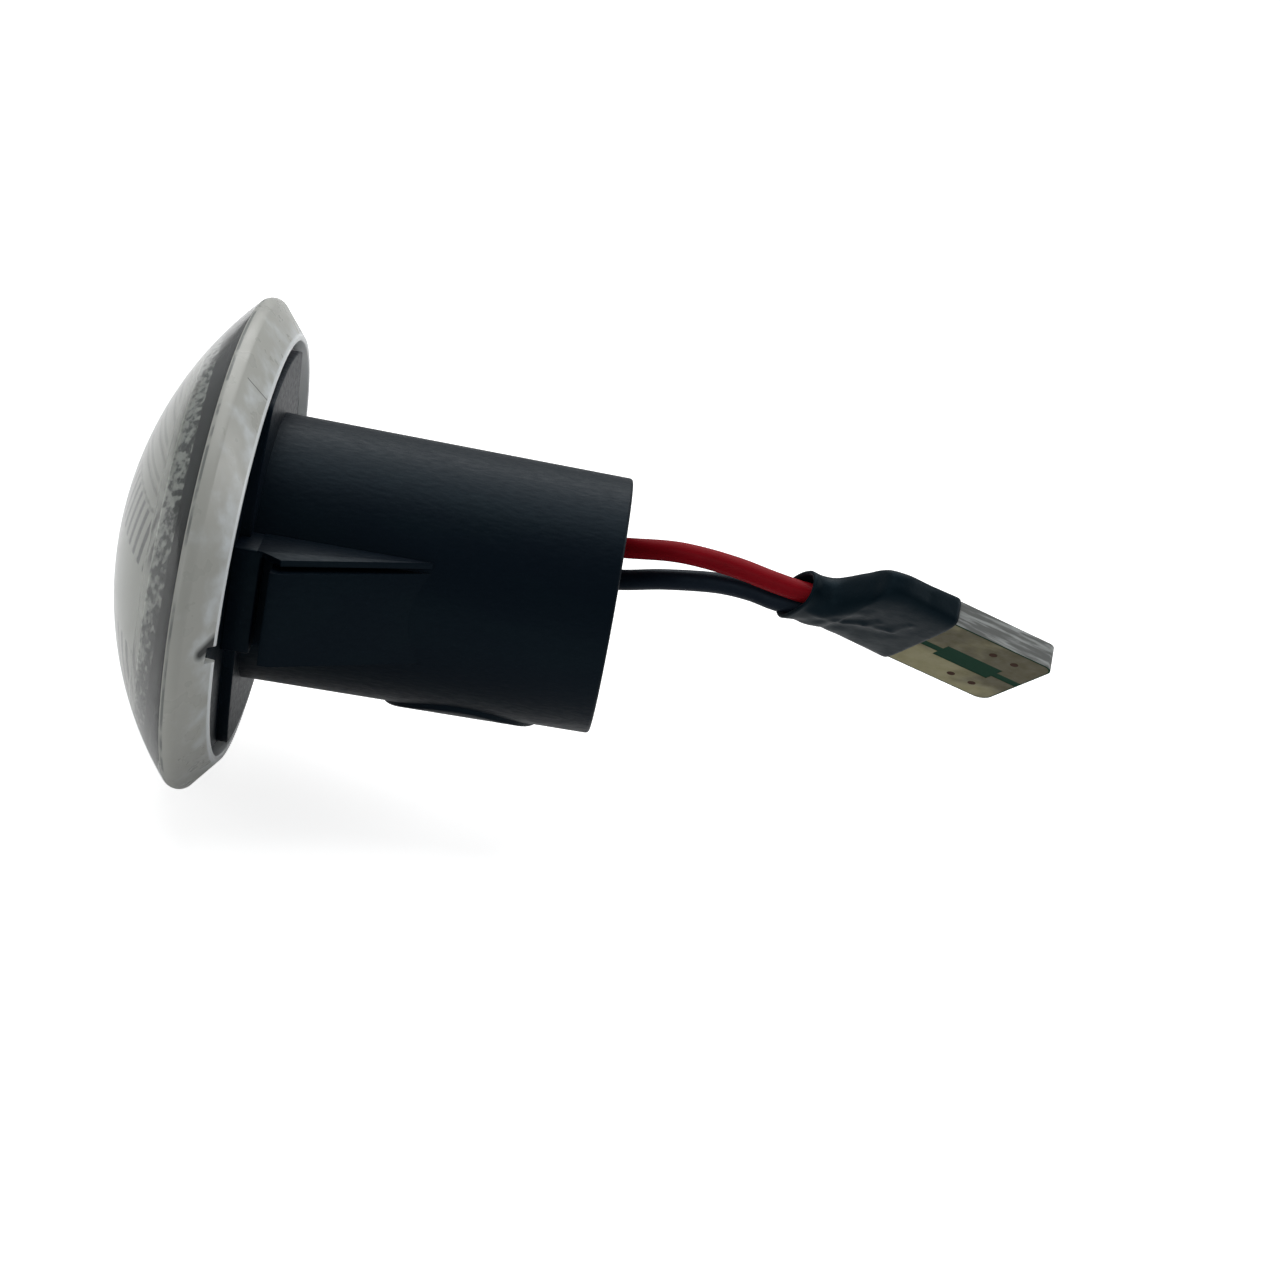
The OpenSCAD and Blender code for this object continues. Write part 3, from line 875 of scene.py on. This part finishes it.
    def build(self) -> None:
        """Makes the lens."""
        rings, zones = zip(*self.strips())
        faces = np.repeat([zone.value for zone in zones[:-1]], OUTLINE.count)
        notch = block((-self.seat_depth - self.notch_sunk, -self.notch_tip, self.notch_low),
                      (self.notch_back, self.notch_l - self.notch_tip, self.notch_high))
        loft(rings).piece("lens_moulding", [RIM, FOOT, DOME, FLUTED, WELD, FLASH, LIP_HIGHLIGHT, SEAM], Slot.LENS, ["lens"],
                          zones=[*faces, Zone.DOME.value, Zone.FLUTES.value], sharp=50.0, cutter=notch)


@dataclass
class Housing:
    """Black moulding behind the lens: plate, pad, collar, tail, snap hooks, index pad and tab."""

    seat_depth: float = Lens.seat_depth
    plate_inset: float = 3.75
    plate_depth: float = 0.7
    pad_rise: float = 0.2
    pad_half_w: float = 11.8
    pad_half_top: float = 20.0
    pad_inset: float = 4.0
    collar_inset: float = 5.05
    collar_wall: float = 1.1
    collar_h: float = 2.8
    tail_r: float = 10.9
    tail_end_r: float = 10.55
    tail_wall: float = 1.6
    floor_back: float = -0.2
    cable_hole_r: float = 3.5
    hook_low: float = -3.9
    hook_w: float = 7.6
    hook_reach: float = 16.1
    hook_catch: float = 2.4
    hook_tip: float = 0.8
    hook_end: float = 13.0
    hook_foot: float = 3.4
    recess_l: float = 0.9
    recess_h: float = 1.2
    slot_w: float = 0.4
    cheek_w: float = 0.5
    cheek_slant: float = 1.6
    cheek_drop: float = 0.7
    index_r: float = 6.5
    index_x: float = 18.0
    index_rise: float = 0.35
    tab_w: float = 1.0
    tab_z: float = -0.6
    tab_l: float = 3.0
    edge_r: float = 0.12
    tail_edge_r: float = 0.35
    hook_edge_r: float = 0.22
    sunk: float = 0.2
    plate_margin: float = 2.0
    pad_count: int = 240
    tail_count: int = 160
    index_count: int = 72
    index_sunk: float = 0.5
    index_shares: Sequence[float] = (0.85, 0.7, 0.5, 0.3, 0.1)
    overlap: float = 0.1
    front_wall: float = 1.0
    run_out: float = 1.2
    side_gap: float = 0.01
    cheek_sunk: float = 0.4
    step: float = 0.02
    tail_l: float = HOUSING_HIGH.x / MM

    def tail_r_at(self, x: float | np.ndarray) -> float | np.ndarray:
        """Gives the outer radius of the tail at a distance from the panel."""
        return self.tail_r + (self.tail_end_r - self.tail_r) * x / self.tail_l

    def part(self, name: str, shape: Shape, bevel: float = 0.0) -> None:
        """Adds one part of the moulding, with its edges rounded where a bevel is given."""
        shape.piece(f"housing_{name}", [HOUSING], Slot.HOUSING, ["housing"], bevel=bevel)

    def oval(self, profile: Sequence[tuple[float, float]], looped: bool = False) -> Shape:
        """Makes an oval part from places along X and margins from the lens outline."""
        return loft([OUTLINE.coarse().ring(x, margin) for x, margin in profile], looped)

    def pad(self) -> Shape:
        """Makes the raised pad, whose ends follow the rim and whose sides are bowed.

        Returns:
            The pad.
        """
        half_l, half_h = OUTLINE.half_l - self.pad_inset, OUTLINE.half_h - self.pad_inset
        c, s = circle(self.pad_count)
        reach = np.minimum(1 / np.hypot(c / half_l, s / half_h),
                           1 / np.hypot(c / self.pad_half_w, s / self.pad_half_top))
        profile = [(-self.plate_depth - self.sunk, 0.0), (self.pad_rise, 0.0), (self.pad_rise, 1.0)]
        return loft([ring_of(x, (reach - margin) * c, (reach - margin) * s)
                     for x, margin in fillet(profile, self.edge_r)])

    def tail(self) -> Shape:
        """Makes the tail with its bore, its floor and the cable hole.

        Returns:
            The tail.
        """
        wall, end = self.tail_wall, self.tail_l
        corners = [(-self.plate_depth - self.overlap, self.tail_r), (end, self.tail_end_r),
                   (end, self.tail_end_r - wall), (self.floor_back, self.tail_r - wall),
                   (self.floor_back, self.cable_hole_r), (-self.seat_depth, self.cable_hole_r),
                   (-self.seat_depth, self.tail_r - self.front_wall)]
        return lathe(fillet(corners, self.tail_edge_r, steps=5), self.tail_count)

    def hook(self, name: str, side: int) -> None:
        """Makes one snap hook: block, tongue and cheek, with the slot between those two.

        Args:
            name: Name of the hook.
            side: -1 for the near hook, 1 for the far one.
        """
        root, reach, gap = self.tail_r - self.tail_wall / 2, self.hook_reach, self.step
        foot, foot_x = self.tail_r + self.hook_foot, self.hook_catch - self.recess_l
        neck, start = self.tail_r + self.recess_h, -self.plate_depth - self.overlap
        tip_x, cheek_x = self.hook_catch + self.hook_tip, foot_x + self.cheek_slant
        neck_x, sunk_x = foot_x - self.overlap, foot_x - self.cheek_sunk
        end_y, slope_end = self.tail_r_at(self.hook_end), self.hook_end + self.run_out
        fall = (reach - end_y) / (self.hook_end - tip_x)
        end = [(slope_end, end_y - self.run_out * fall), (slope_end, root)]
        cheek_y = end_y + fall * (self.hook_end - cheek_x) - self.cheek_drop
        top = self.hook_low + self.hook_w
        cheek_low, cheek_high = top + self.slot_w, top + self.slot_w + self.cheek_w
        for part, profile, low, high in (
                ("block", [(start, root), (start, foot), (foot_x, foot), (foot_x, root)],
                 self.hook_low + self.side_gap, cheek_high - self.side_gap),
                ("tongue", [(neck_x, root), (neck_x, neck), (self.hook_catch, neck), (self.hook_catch, reach),
                            (tip_x, reach), *end], self.hook_low, top),
                ("cheek", [(sunk_x, root), (sunk_x, foot - gap), (foot_x, foot - gap), (cheek_x, cheek_y), *end],
                 cheek_low, cheek_high)):
            x, y = np.array(profile, float).T
            rings = [ring_of(x, side * y, z) for z in (low, high)]
            self.part(f"{name}_{part}", loft(rings if side > 0 else rings[::-1]), bevel=self.hook_edge_r)

    def index_pad(self) -> Shape:
        """Makes the round pad under the tail, which follows the tail's round.

        Returns:
            The pad.
        """
        edge, third, r, top = self.edge_r, self.edge_r / 3, self.index_r, self.index_rise
        rings = []
        c, s = circle(self.index_count)
        for radius, rise in [(r, -self.index_sunk), (r, top - edge), (r - third, top - third), (r - edge, top),
                             *[(r * share, top) for share in self.index_shares]]:
            x, y = self.index_x + radius * c, -radius * s
            rings.append(ring_of(x, y, -np.sqrt(np.square(self.tail_r_at(x) + rise) - y * y)))
        return loft(rings)

    def build(self) -> None:
        """Makes every part of the moulding."""
        front, back, plate_back = -self.seat_depth - self.collar_h, -self.seat_depth, -self.plate_depth
        inset, inner = self.plate_inset, self.plate_inset + self.plate_margin
        self.part("plate", self.oval(fillet(
            [(back, inner), (back, inset), (plate_back, inset), (plate_back, inner)], self.edge_r)))
        self.part("pad", self.pad())
        inset, inner = self.collar_inset, self.collar_inset + self.collar_wall
        self.part("collar", self.oval([(back, inner), (front, inner), (front, inset), (back, inset)], looped=True))
        self.part("tail", self.tail())
        self.hook("hook_near", -1)
        self.hook("hook_far", 1)
        self.part("index_pad", self.index_pad())
        tip, half = HOUSING_LOW.y / MM, self.tab_w / 2
        self.part("tab", block((back + self.step, tip, self.tab_z - half),
                               (plate_back, tip + self.tab_l, self.tab_z + half)), bevel=self.edge_r)


@dataclass(frozen=True)
class Grid:
    """Copies of one block or disc on a grid across X, made by a node group.

    Args:
        name: Name of the piece.
        rows: Count along Z.
        columns: Count along Y.
        pitch_y: Distance between columns.
        pitch_z: Distance between rows.
        x: Place of the middle of a copy.
        size: Thickness along X and width across it.
        disc: Whether a copy is a disc instead of a block.
        disc_count: Sides of a disc.
    """

    name: str
    rows: int
    columns: int
    pitch_y: float
    pitch_z: float
    x: float
    size: tuple[float, float]
    disc: bool = False
    disc_count: int = 40

    def tree(self, material: bpy.types.Material) -> Tree:
        """Builds the node group.

        Args:
            material: Material of the copies.

        Returns:
            The node group, with its lengths as named inputs.
        """
        tree = bpy.data.node_groups.new(self.name, "GeometryNodeTree")
        for label in ("Length Y", "Length Z", "Thickness", "Width", "Place X"):
            tree.interface.new_socket(label, in_out="INPUT", socket_type="NodeSocketFloat")
        tree.interface.new_socket("Geometry", in_out="OUTPUT", socket_type="NodeSocketGeometry")
        given = add_node(tree, "NodeGroupInput").outputs
        grid = add_node(tree, "GeometryNodeMeshGrid", {"Vertices X": self.columns, "Vertices Y": self.rows,
                                                       "Size X": given["Length Y"], "Size Y": given["Length Z"]})
        if self.disc:
            radius = add_node(tree, "ShaderNodeMath", {0: given["Width"], 1: 0.5}, operation="MULTIPLY")
            copy = add_node(tree, "GeometryNodeMeshCylinder", {
                "Vertices": self.disc_count, "Radius": radius.outputs[0], "Depth": given["Thickness"]})
        else:
            size = add_node(tree, "ShaderNodeCombineXYZ", {
                "X": given["Width"], "Y": given["Width"], "Z": given["Thickness"]})
            copy = add_node(tree, "GeometryNodeMeshCube", {"Size": size.outputs[0]})
        spread = add_node(tree, "GeometryNodeInstanceOnPoints", {
            "Points": grid.outputs["Mesh"], "Instance": copy.outputs["Mesh"]})
        place = add_node(tree, "ShaderNodeCombineXYZ", {"X": given["Place X"]})
        turned = add_node(tree, "GeometryNodeTransform", {
            "Geometry": spread.outputs["Instances"], "Translation": place.outputs[0],
            "Rotation": (math.pi / 2, 0.0, math.pi / 2)})
        real = add_node(tree, "GeometryNodeRealizeInstances", {"Geometry": turned.outputs["Geometry"]})
        paint = add_node(tree, "GeometryNodeSetMaterial", {
            "Geometry": real.outputs["Geometry"], "Material": material})
        add_node(tree, "NodeGroupOutput", {"Geometry": paint.outputs["Geometry"]})
        return tree

    def build(self, finish: Finish) -> Object:
        """Makes the copies one mesh.

        Args:
            finish: Their finish.

        Returns:
            The object, not yet tied to the lamp.
        """
        made = link(self.name, bpy.data.meshes.new(self.name))
        tree = self.tree(finish.material())
        values = {"Length Y": self.pitch_y * (self.columns - 1), "Length Z": self.pitch_z * (self.rows - 1),
                  "Thickness": self.size[0], "Width": self.size[1], "Place X": self.x}
        modify(made, "NODES", {socket.identifier: values[socket.name] * MM for socket in tree.interface.items_tree
                               if socket.in_out == "INPUT"}, node_group=tree)
        return made


@dataclass
class LightUnit:
    """Light board with its lights and chips, and the bright tray over it."""

    rows: int = 3
    columns: int = 4
    led_size: float = 3.5
    led_h: float = 1.5
    pitch_y: float = 6.0
    pitch_z: float = 5.8
    board_front: float = -2.8
    disc_share: float = 0.8
    disc_h: float = 0.06
    disc_in: float = 0.02
    band_w: float = 0.4
    band_step: float = 0.02
    edge_r: float = 0.05

    def chip(self, node: str) -> None:
        """Makes one chip with its tinned ends.

        Args:
            node: The solid that it stands for.
        """
        low, high = (Vector(corner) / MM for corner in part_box(node))
        near, far, step = low.y + self.band_w, high.y - self.band_w, self.band_step
        for name, finish, start, end in (
                ("body", CHIP, (low.x, near, low.z), (high.x, far, high.z)),
                ("end_near", TIN, (low.x + step, low.y, low.z + step), (high.x, near, high.z - step)),
                ("end_far", TIN, (low.x + step, far, low.z + step), (high.x, high.y, high.z - step))):
            block(start, end).piece(f"{node}_{name}", [finish], Slot.CHIP, [node], bevel=self.edge_r)

    def build(self) -> None:
        """Makes the light unit."""
        show("reflector", CHROME)
        show("light_board", SOLDER_MASK_WHITE)
        lights = [f"led_{i + 1}" for i in range(self.rows * self.columns)]
        top = self.board_front - self.led_h
        for name, finish, x, size, disc in (
                ("light_bodies", LED_BODY, top + self.led_h / 2, (self.led_h, self.led_size), False),
                ("light_phosphors", PHOSPHOR, top + self.disc_in,
                 (self.disc_h, self.disc_share * self.led_size), True)):
            grid = Grid(name, self.rows, self.columns, self.pitch_y, self.pitch_z, x, size, disc)
            register(grid.build(finish), lights)
        for node in ("resistor_1", "resistor_2", "resistor_3", "diode"):
            self.chip(node)


@dataclass
class Leads:
    """Cable seal and the two leads from it to the sleeve."""

    lead_d: float = 1.7
    sides: int = 28
    steps: int = 10
    hole_r: float = Housing.cable_hole_r
    tip_r: float = 0.01
    floor: float = Housing.floor_back
    flange_chamfer: float = 0.8
    seal_edge_r: float = 0.4
    seal_count: int = 96
    red_route: Sequence[Point] = (
        (3, 0.8, 2.2), (6, 0.8, 2.3), (10, 0.8, 2.6), (14, 0.7, 3.1), (18, 0.6, 3.7), (22, 0.3, 4.3),
        (26, -0.1, 4.9), (29.3, -0.6, 5.4), (32.5, -1.6, 6.1), (35, -2.6, 6.4), (38, -4, 6.5),
        (41, -5.6, 6.4), (43.7, -6.8, 6.4), (46.4, -7.2, 6.8))
    black_route: Sequence[Point] = (
        (3, 0.8, -0.6), (6, 0.8, -0.6), (10, 0.8, -0.4), (14, 0.7, 0), (18, 0.6, 0.6), (22, 0.4, 1.3),
        (26, 0, 2), (29.3, -0.5, 2.6), (32.5, -1.2, 3.5), (36.5, -2.4, 4.4), (39.2, -3.6, 4.7),
        (41.2, -4.8, 4.7), (43, -5.6, 4.8), (45.8, -6.2, 4.9))

    def tube(self, name: str, route: Sequence[Point], finish: Finish, slot: Slot) -> None:
        """Makes one lead.

        Args:
            name: Solid that the lead stands for.
            route: Points that it runs through.
            finish: Its finish.
            slot: Material slot of the record.
        """
        path = catmull(np.array(route, float), self.steps)
        along = np.gradient(path, axis=0)
        along[0] = (1.0, 0.0, 0.0)
        along /= np.linalg.norm(along, axis=1)[:, None]
        side = np.cross((0.0, 0.0, 1.0), along)
        side /= np.linalg.norm(side, axis=1)[:, None]
        up = np.cross(along, side)
        c, s = circle(self.sides)
        rings = [p + self.lead_d / 2 * (np.outer(c, u) - np.outer(s, v)) for p, u, v in zip(path, up, side)]
        made = loft(rings).piece(f"{name}_tube", [finish], slot, [name], sharp=60.0)

    def seal(self) -> None:
        """Makes the potting in the cable hole."""
        low, high = (Vector(corner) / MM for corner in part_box("cable_seal"))
        tip, hole, flange, edge = self.tip_r, self.hole_r, high.y, self.flange_chamfer
        corners = [(low.x, tip), (low.x, hole), (self.floor, hole), (self.floor, flange),
                   (high.x - edge, flange), (high.x, flange - edge), (high.x, tip)]
        seal = lathe(fillet(corners, self.seal_edge_r, steps=5), self.seal_count, looped=False)
        seal.piece("cable_seal_potting", [POTTING], Slot.POTTING, ["cable_seal"])

    def build(self, carried: Sequence[Object]) -> None:
        """Makes the seal and both leads.

        Args:
            carried: Pieces on the far end of the leads. Not used.
        """
        self.seal()
        self.tube("lead_red", self.red_route, RED, Slot.RED)
        self.tube("lead_black", self.black_route, BLACK, Slot.BLACK)


@dataclass(frozen=True)
class Crease:
    """Soft ridge on the sleeve, laid out in the board's own frame.

    Args:
        start: Place [x, y] of one end.
        end: Place [x, y] of the other end.
        width: Its width, in millimetres.
        height: Its height, negative for a groove.
        side: -1 for the under side, 1 for the top.
        fade: Height over which it fades towards the sleeve's edge.
    """

    start: tuple[float, float]
    end: tuple[float, float]
    width: float
    height: float
    side: int = -1
    fade: float = 0.5

    def swell(self, x: float, y: np.ndarray, z: np.ndarray) -> np.ndarray:
        """Gives how far it lifts the sleeve.

        Args:
            x: Place along the sleeve.
            y: Places across it.
            z: Heights of those places.

        Returns:
            The lift at each place.
        """
        run = np.array(self.end) - np.array(self.start)
        from_x, from_y = x - self.start[0], y - self.start[1]
        share = np.clip((from_x * run[0] + from_y * run[1]) / (run @ run), 0.0, 1.0)
        off = np.hypot(from_x - share * run[0], from_y - share * run[1])
        return self.height * np.exp(-np.square(off / self.width)) * smoothstep(0.0, self.fade, self.side * z)


@dataclass
class WedgePlug:
    """Heat-shrink sleeve and the laminate board with its contacts, in the board's own frame."""

    pose: Pose = BOARD_POSE
    plug_w: float = 9.5
    plug_t: float = 2.1
    plug_out: float = 9.2
    plug_in: float = 6.2
    corner_r: float = 1.0
    wall: float = 0.4
    count: int = 168
    fine_count: int = 1441
    peg_count: int = 20
    corner_count: int = 9
    steps: int = 12
    wave_h: float = 0.03
    wave_turn: float = 2.6
    wave_count: int = 3
    wave_range: tuple[float, float] = (4.0, 7.0)
    inner_l: float = 2.2
    mouth_gap: float = 0.2
    board_round: float = 0.03
    board_edge: Sequence[tuple[float, float]] = ((0.0, 0.52), (-0.06, 0.16))
    mouth_edge: Sequence[tuple[float, float]] = ((0.0, 0.06), (-0.07, 0.2), (0.05, 0.4))
    pinhole_x: Sequence[float] = (4.45, 6.55)
    pinhole_y: float = 2.825
    pinhole_r: float = 0.34
    stain_h: float = 0.004
    board_sunk: float = 0.02
    sections: Sequence[tuple[float, float, float, float, float]] = (
        (-0.6, 0.0, 5.15, 1.45, 6.0), (-3.2, 0.0, 5.15, 1.45, 5.0), (-6.7, 0.08, 5.14, 1.5, 4.0),
        (-7.6, 1.3, 4.2, 1.65, 3.2), (-8.6, 2.8, 2.95, 1.7, 2.6), (-9.6, 3.3, 2.65, 1.7, 2.4),
        (-10.6, 3.5, 2.8, 1.85, 2.4))
    creases: Sequence[Crease] = tuple(Crease(*row) for row in (
        ((-9.6, 2.2), (-7.0, 1.7), 0.45, 0.1), ((-6.9, 1.7), (-5.6, 0.6), 0.34, 0.11),
        ((-5.6, 0.6), (-5.1, -0.6), 0.3, 0.1), ((-6.6, 2.7), (-5.0, 1.7), 0.6, -0.08),
        ((-4.6, 0.4), (-3.6, -0.1), 0.32, 0.09), ((-3.6, -0.1), (-3.2, -2.2), 0.3, 0.08),
        ((-4.0, 1.2), (-3.0, 0.4), 0.55, -0.05), ((-8.2, 1.2), (-7.2, -0.8), 0.5, 0.1),
        ((-7.2, 0.5), (-5.6, -1.6), 0.4, 0.12, 1), ((-8.6, 3.5), (-7.4, 1.6), 0.4, 0.12, 1)))

    def to_frame(self, points: np.ndarray) -> np.ndarray:
        """Moves points from the board's own frame into the lamp's."""
        x, y, z = (Matrix.Rotation(math.radians(a), 3, axis) for a, axis in zip(self.pose[1], "XYZ"))
        return points @ np.array(z @ y @ x).T + np.array(self.pose[0])

    def ring(self, section: np.ndarray, margin: float = 0.0) -> Ring:
        """Gives one ring of the sleeve.

        Args:
            section: Place, offset, half width, half height and squareness.
            margin: How much smaller the ring is all round.

        Returns:
            The ring, in the board's frame.
        """
        x, offset, half_w, half_h, power = section
        angles = np.linspace(0.0, 2 * np.pi, self.fine_count)
        c, s = np.cos(angles), np.sin(angles)
        y = offset + (half_w - margin) * np.sign(c) * np.abs(c) ** (2 / power)
        z = (half_h - margin) * np.sign(s) * np.abs(s) ** (2 / power)
        run = np.concatenate([[0.0], np.cumsum(np.hypot(np.diff(y), np.diff(z)))])
        even = run[-1] * (np.arange(self.count) + 0.5) / self.count
        y, z = np.interp(even, run, y), np.interp(even, run, z)
        out = np.stack([np.roll(z, -1) - np.roll(z, 1), np.roll(y, 1) - np.roll(y, -1)], 1)
        out /= np.linalg.norm(out, axis=1)[:, None]
        swell = sum(crease.swell(x, y, z) for crease in self.creases)
        waves = np.sin(self.wave_turn * x + self.wave_count * np.arctan2(z, y - offset))
        swell = swell + self.wave_h * waves * smoothstep(*self.wave_range, np.array(-x))
        return ring_of(x, y + swell * out[:, 0], z + swell * out[:, 1])

    def sleeve(self) -> Object:
        """Makes the sleeve with its open, pinched mouth.

        Returns:
            The sleeve.
        """
        dense = catmull(np.array(self.sections, float), self.steps)
        mouth = dense[-1]
        edges = [(dense[0], *edge) for edge in self.board_edge] + [(dense[1], 0.0, self.board_round)]
        edges += [(section, 0.0, 0.0) for section in dense[2:-1]] + [(mouth, *edge) for edge in self.mouth_edge]
        edges += [(section, 0.0, self.wall) for section in dense[::-1]
                  if mouth[0] + self.mouth_gap < section[0] < mouth[0] + self.inner_l]
        rings = [self.ring(section + [shift, 0, 0, 0, 0], margin) for section, shift, margin in edges]
        shape = loft([self.to_frame(ring) for ring in rings])
        return shape.piece("shrink_sleeve", [SLEEVE], Slot.SLEEVE, ["sleeve"], sharp=60.0)

    def board(self) -> Object:
        """Makes the laminate board, green on its faces and sawn on its edges.

        Returns:
            The board.
        """
        half, r = self.plug_w / 2, self.corner_r
        arc = np.linspace(0, math.pi / 2, self.corner_count)
        outline = [(-self.plug_in, -half)]
        outline += [(self.plug_out - r + r * math.sin(a), -half + r - r * math.cos(a)) for a in arc]
        outline += [(self.plug_out - r + r * math.cos(a), half - r + r * math.sin(a)) for a in arc]
        outline += [(-self.plug_in, half)]
        depth = self.plug_t / 2 - self.board_sunk
        x, y = np.array(outline).T
        shape = loft([self.to_frame(ring_of(x, y, z)) for z in (depth, -depth)])
        zones = [0] * len(outline) + [1, 1]
        return shape.piece("plug_laminate", [LAMINATE, MASK_GREEN], Slot.LAMINATE, ["plug_board"], zones=zones)

    def pinholes(self) -> Object:
        """Makes the dark plugs in the pinholes of both faces, with the stain round each.

        Returns:
            The plugs as one piece.
        """
        depth, r = self.plug_t / 2 + self.stain_h, self.pinhole_r
        c, s = circle(self.peg_count)
        pegs = [loft([self.to_frame(ring_of(x + r * c, y + r * s, z)) for z in (-depth, depth)])
                for x in self.pinhole_x for y in (-self.pinhole_y, self.pinhole_y)]
        faces = [tuple(index + i * len(peg.points) for index in face)
                 for i, peg in enumerate(pegs) for face in peg.faces]
        shape = Shape(np.vstack([peg.points for peg in pegs]), faces)
        return shape.piece("plug_pinholes", [PINHOLE], Slot.LAMINATE, [])

    def build(self) -> list[Object]:
        """Makes the sleeve, the board and what is on it.

        Returns:
            The pieces that hang on the leads.
        """
        return [self.sleeve(), self.board(), self.pinholes(),
                *[show(f"contact_{face}_{side}", GOLD)
                  for face in ("top", "under") for side in ("near", "far")]]


@dataclass
class Studio:
    """Camera, floor and lamps. The camera's place is in millimetres, its angles in radians, the rest in metres."""

    camera_at: Point = (20.83, -204.82, 74.46)
    yaw: float = 0.05243
    pitch: float = 0.35886
    roll: float = 0.19342
    lens: float = 75.02
    sensor_w: float = 36.0
    clip: tuple[float, float] = (0.01, 20.0)
    floor_gap: float = 0.0002
    floor_half: float = 4.0
    floor_base: float = 0.75
    floor_roughness: float = 0.9
    floor_glow: float = 0.8
    world_color: Point = (0.95, 0.98, 1.0)
    world_strength: float = 0.22
    mirrored: float = 0.15
    softboxes: Sequence[tuple[str, Point, tuple[float, float], float]] = (
        ("overhead", (0.0, 0.26, 0.52), (0.7, 0.75), 2.05),
        ("right", (0.55, 0.2, 0.26), (0.26, 0.26), 3.0),
        ("front_left", (-0.5, -0.45, 0.22), (0.34, 0.34), 1.5))

    def camera(self) -> None:
        """Places the camera where the photograph was taken from."""
        ahead = Vector((math.sin(self.yaw) * math.cos(self.pitch), math.cos(self.yaw) * math.cos(self.pitch),
                        -math.sin(self.pitch)))
        level = Vector((math.cos(self.yaw), -math.sin(self.yaw), 0.0))
        upright = level.cross(ahead)
        right = level * math.cos(self.roll) + upright * math.sin(self.roll)
        up = right.cross(ahead)
        data = bpy.data.cameras.new("camera")
        data.lens = self.lens
        data.sensor_width = self.sensor_w
        data.clip_start, data.clip_end = self.clip
        made = link("camera", data)
        made.matrix_world = Matrix.Translation(Vector(self.camera_at) * MM) @ Matrix(
            (right, up, -ahead)).transposed().to_4x4()
        bpy.context.scene.camera = made

    def backdrop(self, tree: Tree, low: float, high: float) -> Socket:
        """Gives a strength that differs for rays that show the background.

        Args:
            tree: Node tree of the floor or the world.
            low: Strength for the light on the lamp.
            high: Strength for camera and transmission rays, of which glossy rays get the mirrored share.

        Returns:
            The strength.
        """
        rays = add_node(tree, "ShaderNodeLightPath").outputs
        level = rays["Is Camera Ray"]
        for ray, share in (("Is Glossy Ray", self.mirrored), ("Is Transmission Ray", 1.0)):
            level = add_node(tree, "ShaderNodeMath", {0: rays[ray], 1: share, 2: level},
                             operation="MULTIPLY_ADD", use_clamp=True).outputs[0]
        return add_node(tree, "ShaderNodeMapRange", {
            "Value": level, "To Min": low, "To Max": high}).outputs["Result"]

    def floor(self) -> None:
        """Lays the pale floor that the lamp's shadow falls on."""
        material = bpy.data.materials.new("floor_pale")
        material.use_nodes = True
        tree, grey = material.node_tree, self.floor_base
        shader = tree.nodes["Principled BSDF"].inputs
        for label, value in {"Base Color": (grey, grey, grey, 1.0), "Roughness": self.floor_roughness,
                             "Specular IOR Level": 0.0, "Emission Color": (*EVEN, 1.0)}.items():
            shader[label].default_value = value
        tree.links.new(self.backdrop(tree, 0.0, self.floor_glow), shader["Emission Strength"])
        half, z = self.floor_half, CAD_BOX[0].z - self.floor_gap
        mesh = bpy.data.meshes.new("floor")
        mesh.from_pydata([(-half, -half, z), (half, -half, z), (half, half, z), (-half, half, z)], [], [(0, 1, 2, 3)])
        mesh.materials.append(material)
        link("floor", mesh)

    def softbox(self, name: str, at: Point, size: tuple[float, float], radiance: float) -> None:
        """Hangs one soft lamp that shines at the middle of the lamp.

        Args:
            name: Name of the softbox.
            at: Its place, in metres.
            size: Its width and height, in metres.
            radiance: How bright its face is.
        """
        data = bpy.data.lights.new(name, "AREA")
        data.shape = "RECTANGLE"
        data.size, data.size_y = size
        data.energy = radiance * math.pi * size[0] * size[1]
        made = link(name, data)
        middle = (CAD_BOX[0] + CAD_BOX[1]) / 2
        made.location = at
        made.rotation_euler = (middle - Vector(at)).to_track_quat("-Z", "Y").to_euler()

    def build(self) -> None:
        """Sets up the world, the softboxes, the floor and the colour view."""
        scene = bpy.context.scene
        scene.view_settings.view_transform = "Standard"
        world = bpy.data.worlds.new("studio")
        world.use_nodes = True
        tree = world.node_tree
        sky = tree.nodes["Background"].inputs
        sky["Color"].default_value = (*self.world_color, 1.0)
        tree.links.new(self.backdrop(tree, self.world_strength, 1.0), sky["Strength"])
        scene.world = world
        for softbox in self.softboxes:
            self.softbox(*softbox)
        self.floor()


def main() -> None:
    """Builds the scene piece by piece."""
    logging.basicConfig(level=logging.INFO, format="%(name)s: %(message)s")
    studio = Studio()
    studio.camera()
    carried = WedgePlug().build()
    Leads().build(carried)
    Lens().build()
    Housing().build()
    LightUnit().build()
    studio.build()


if __name__ == "__main__":
    main()
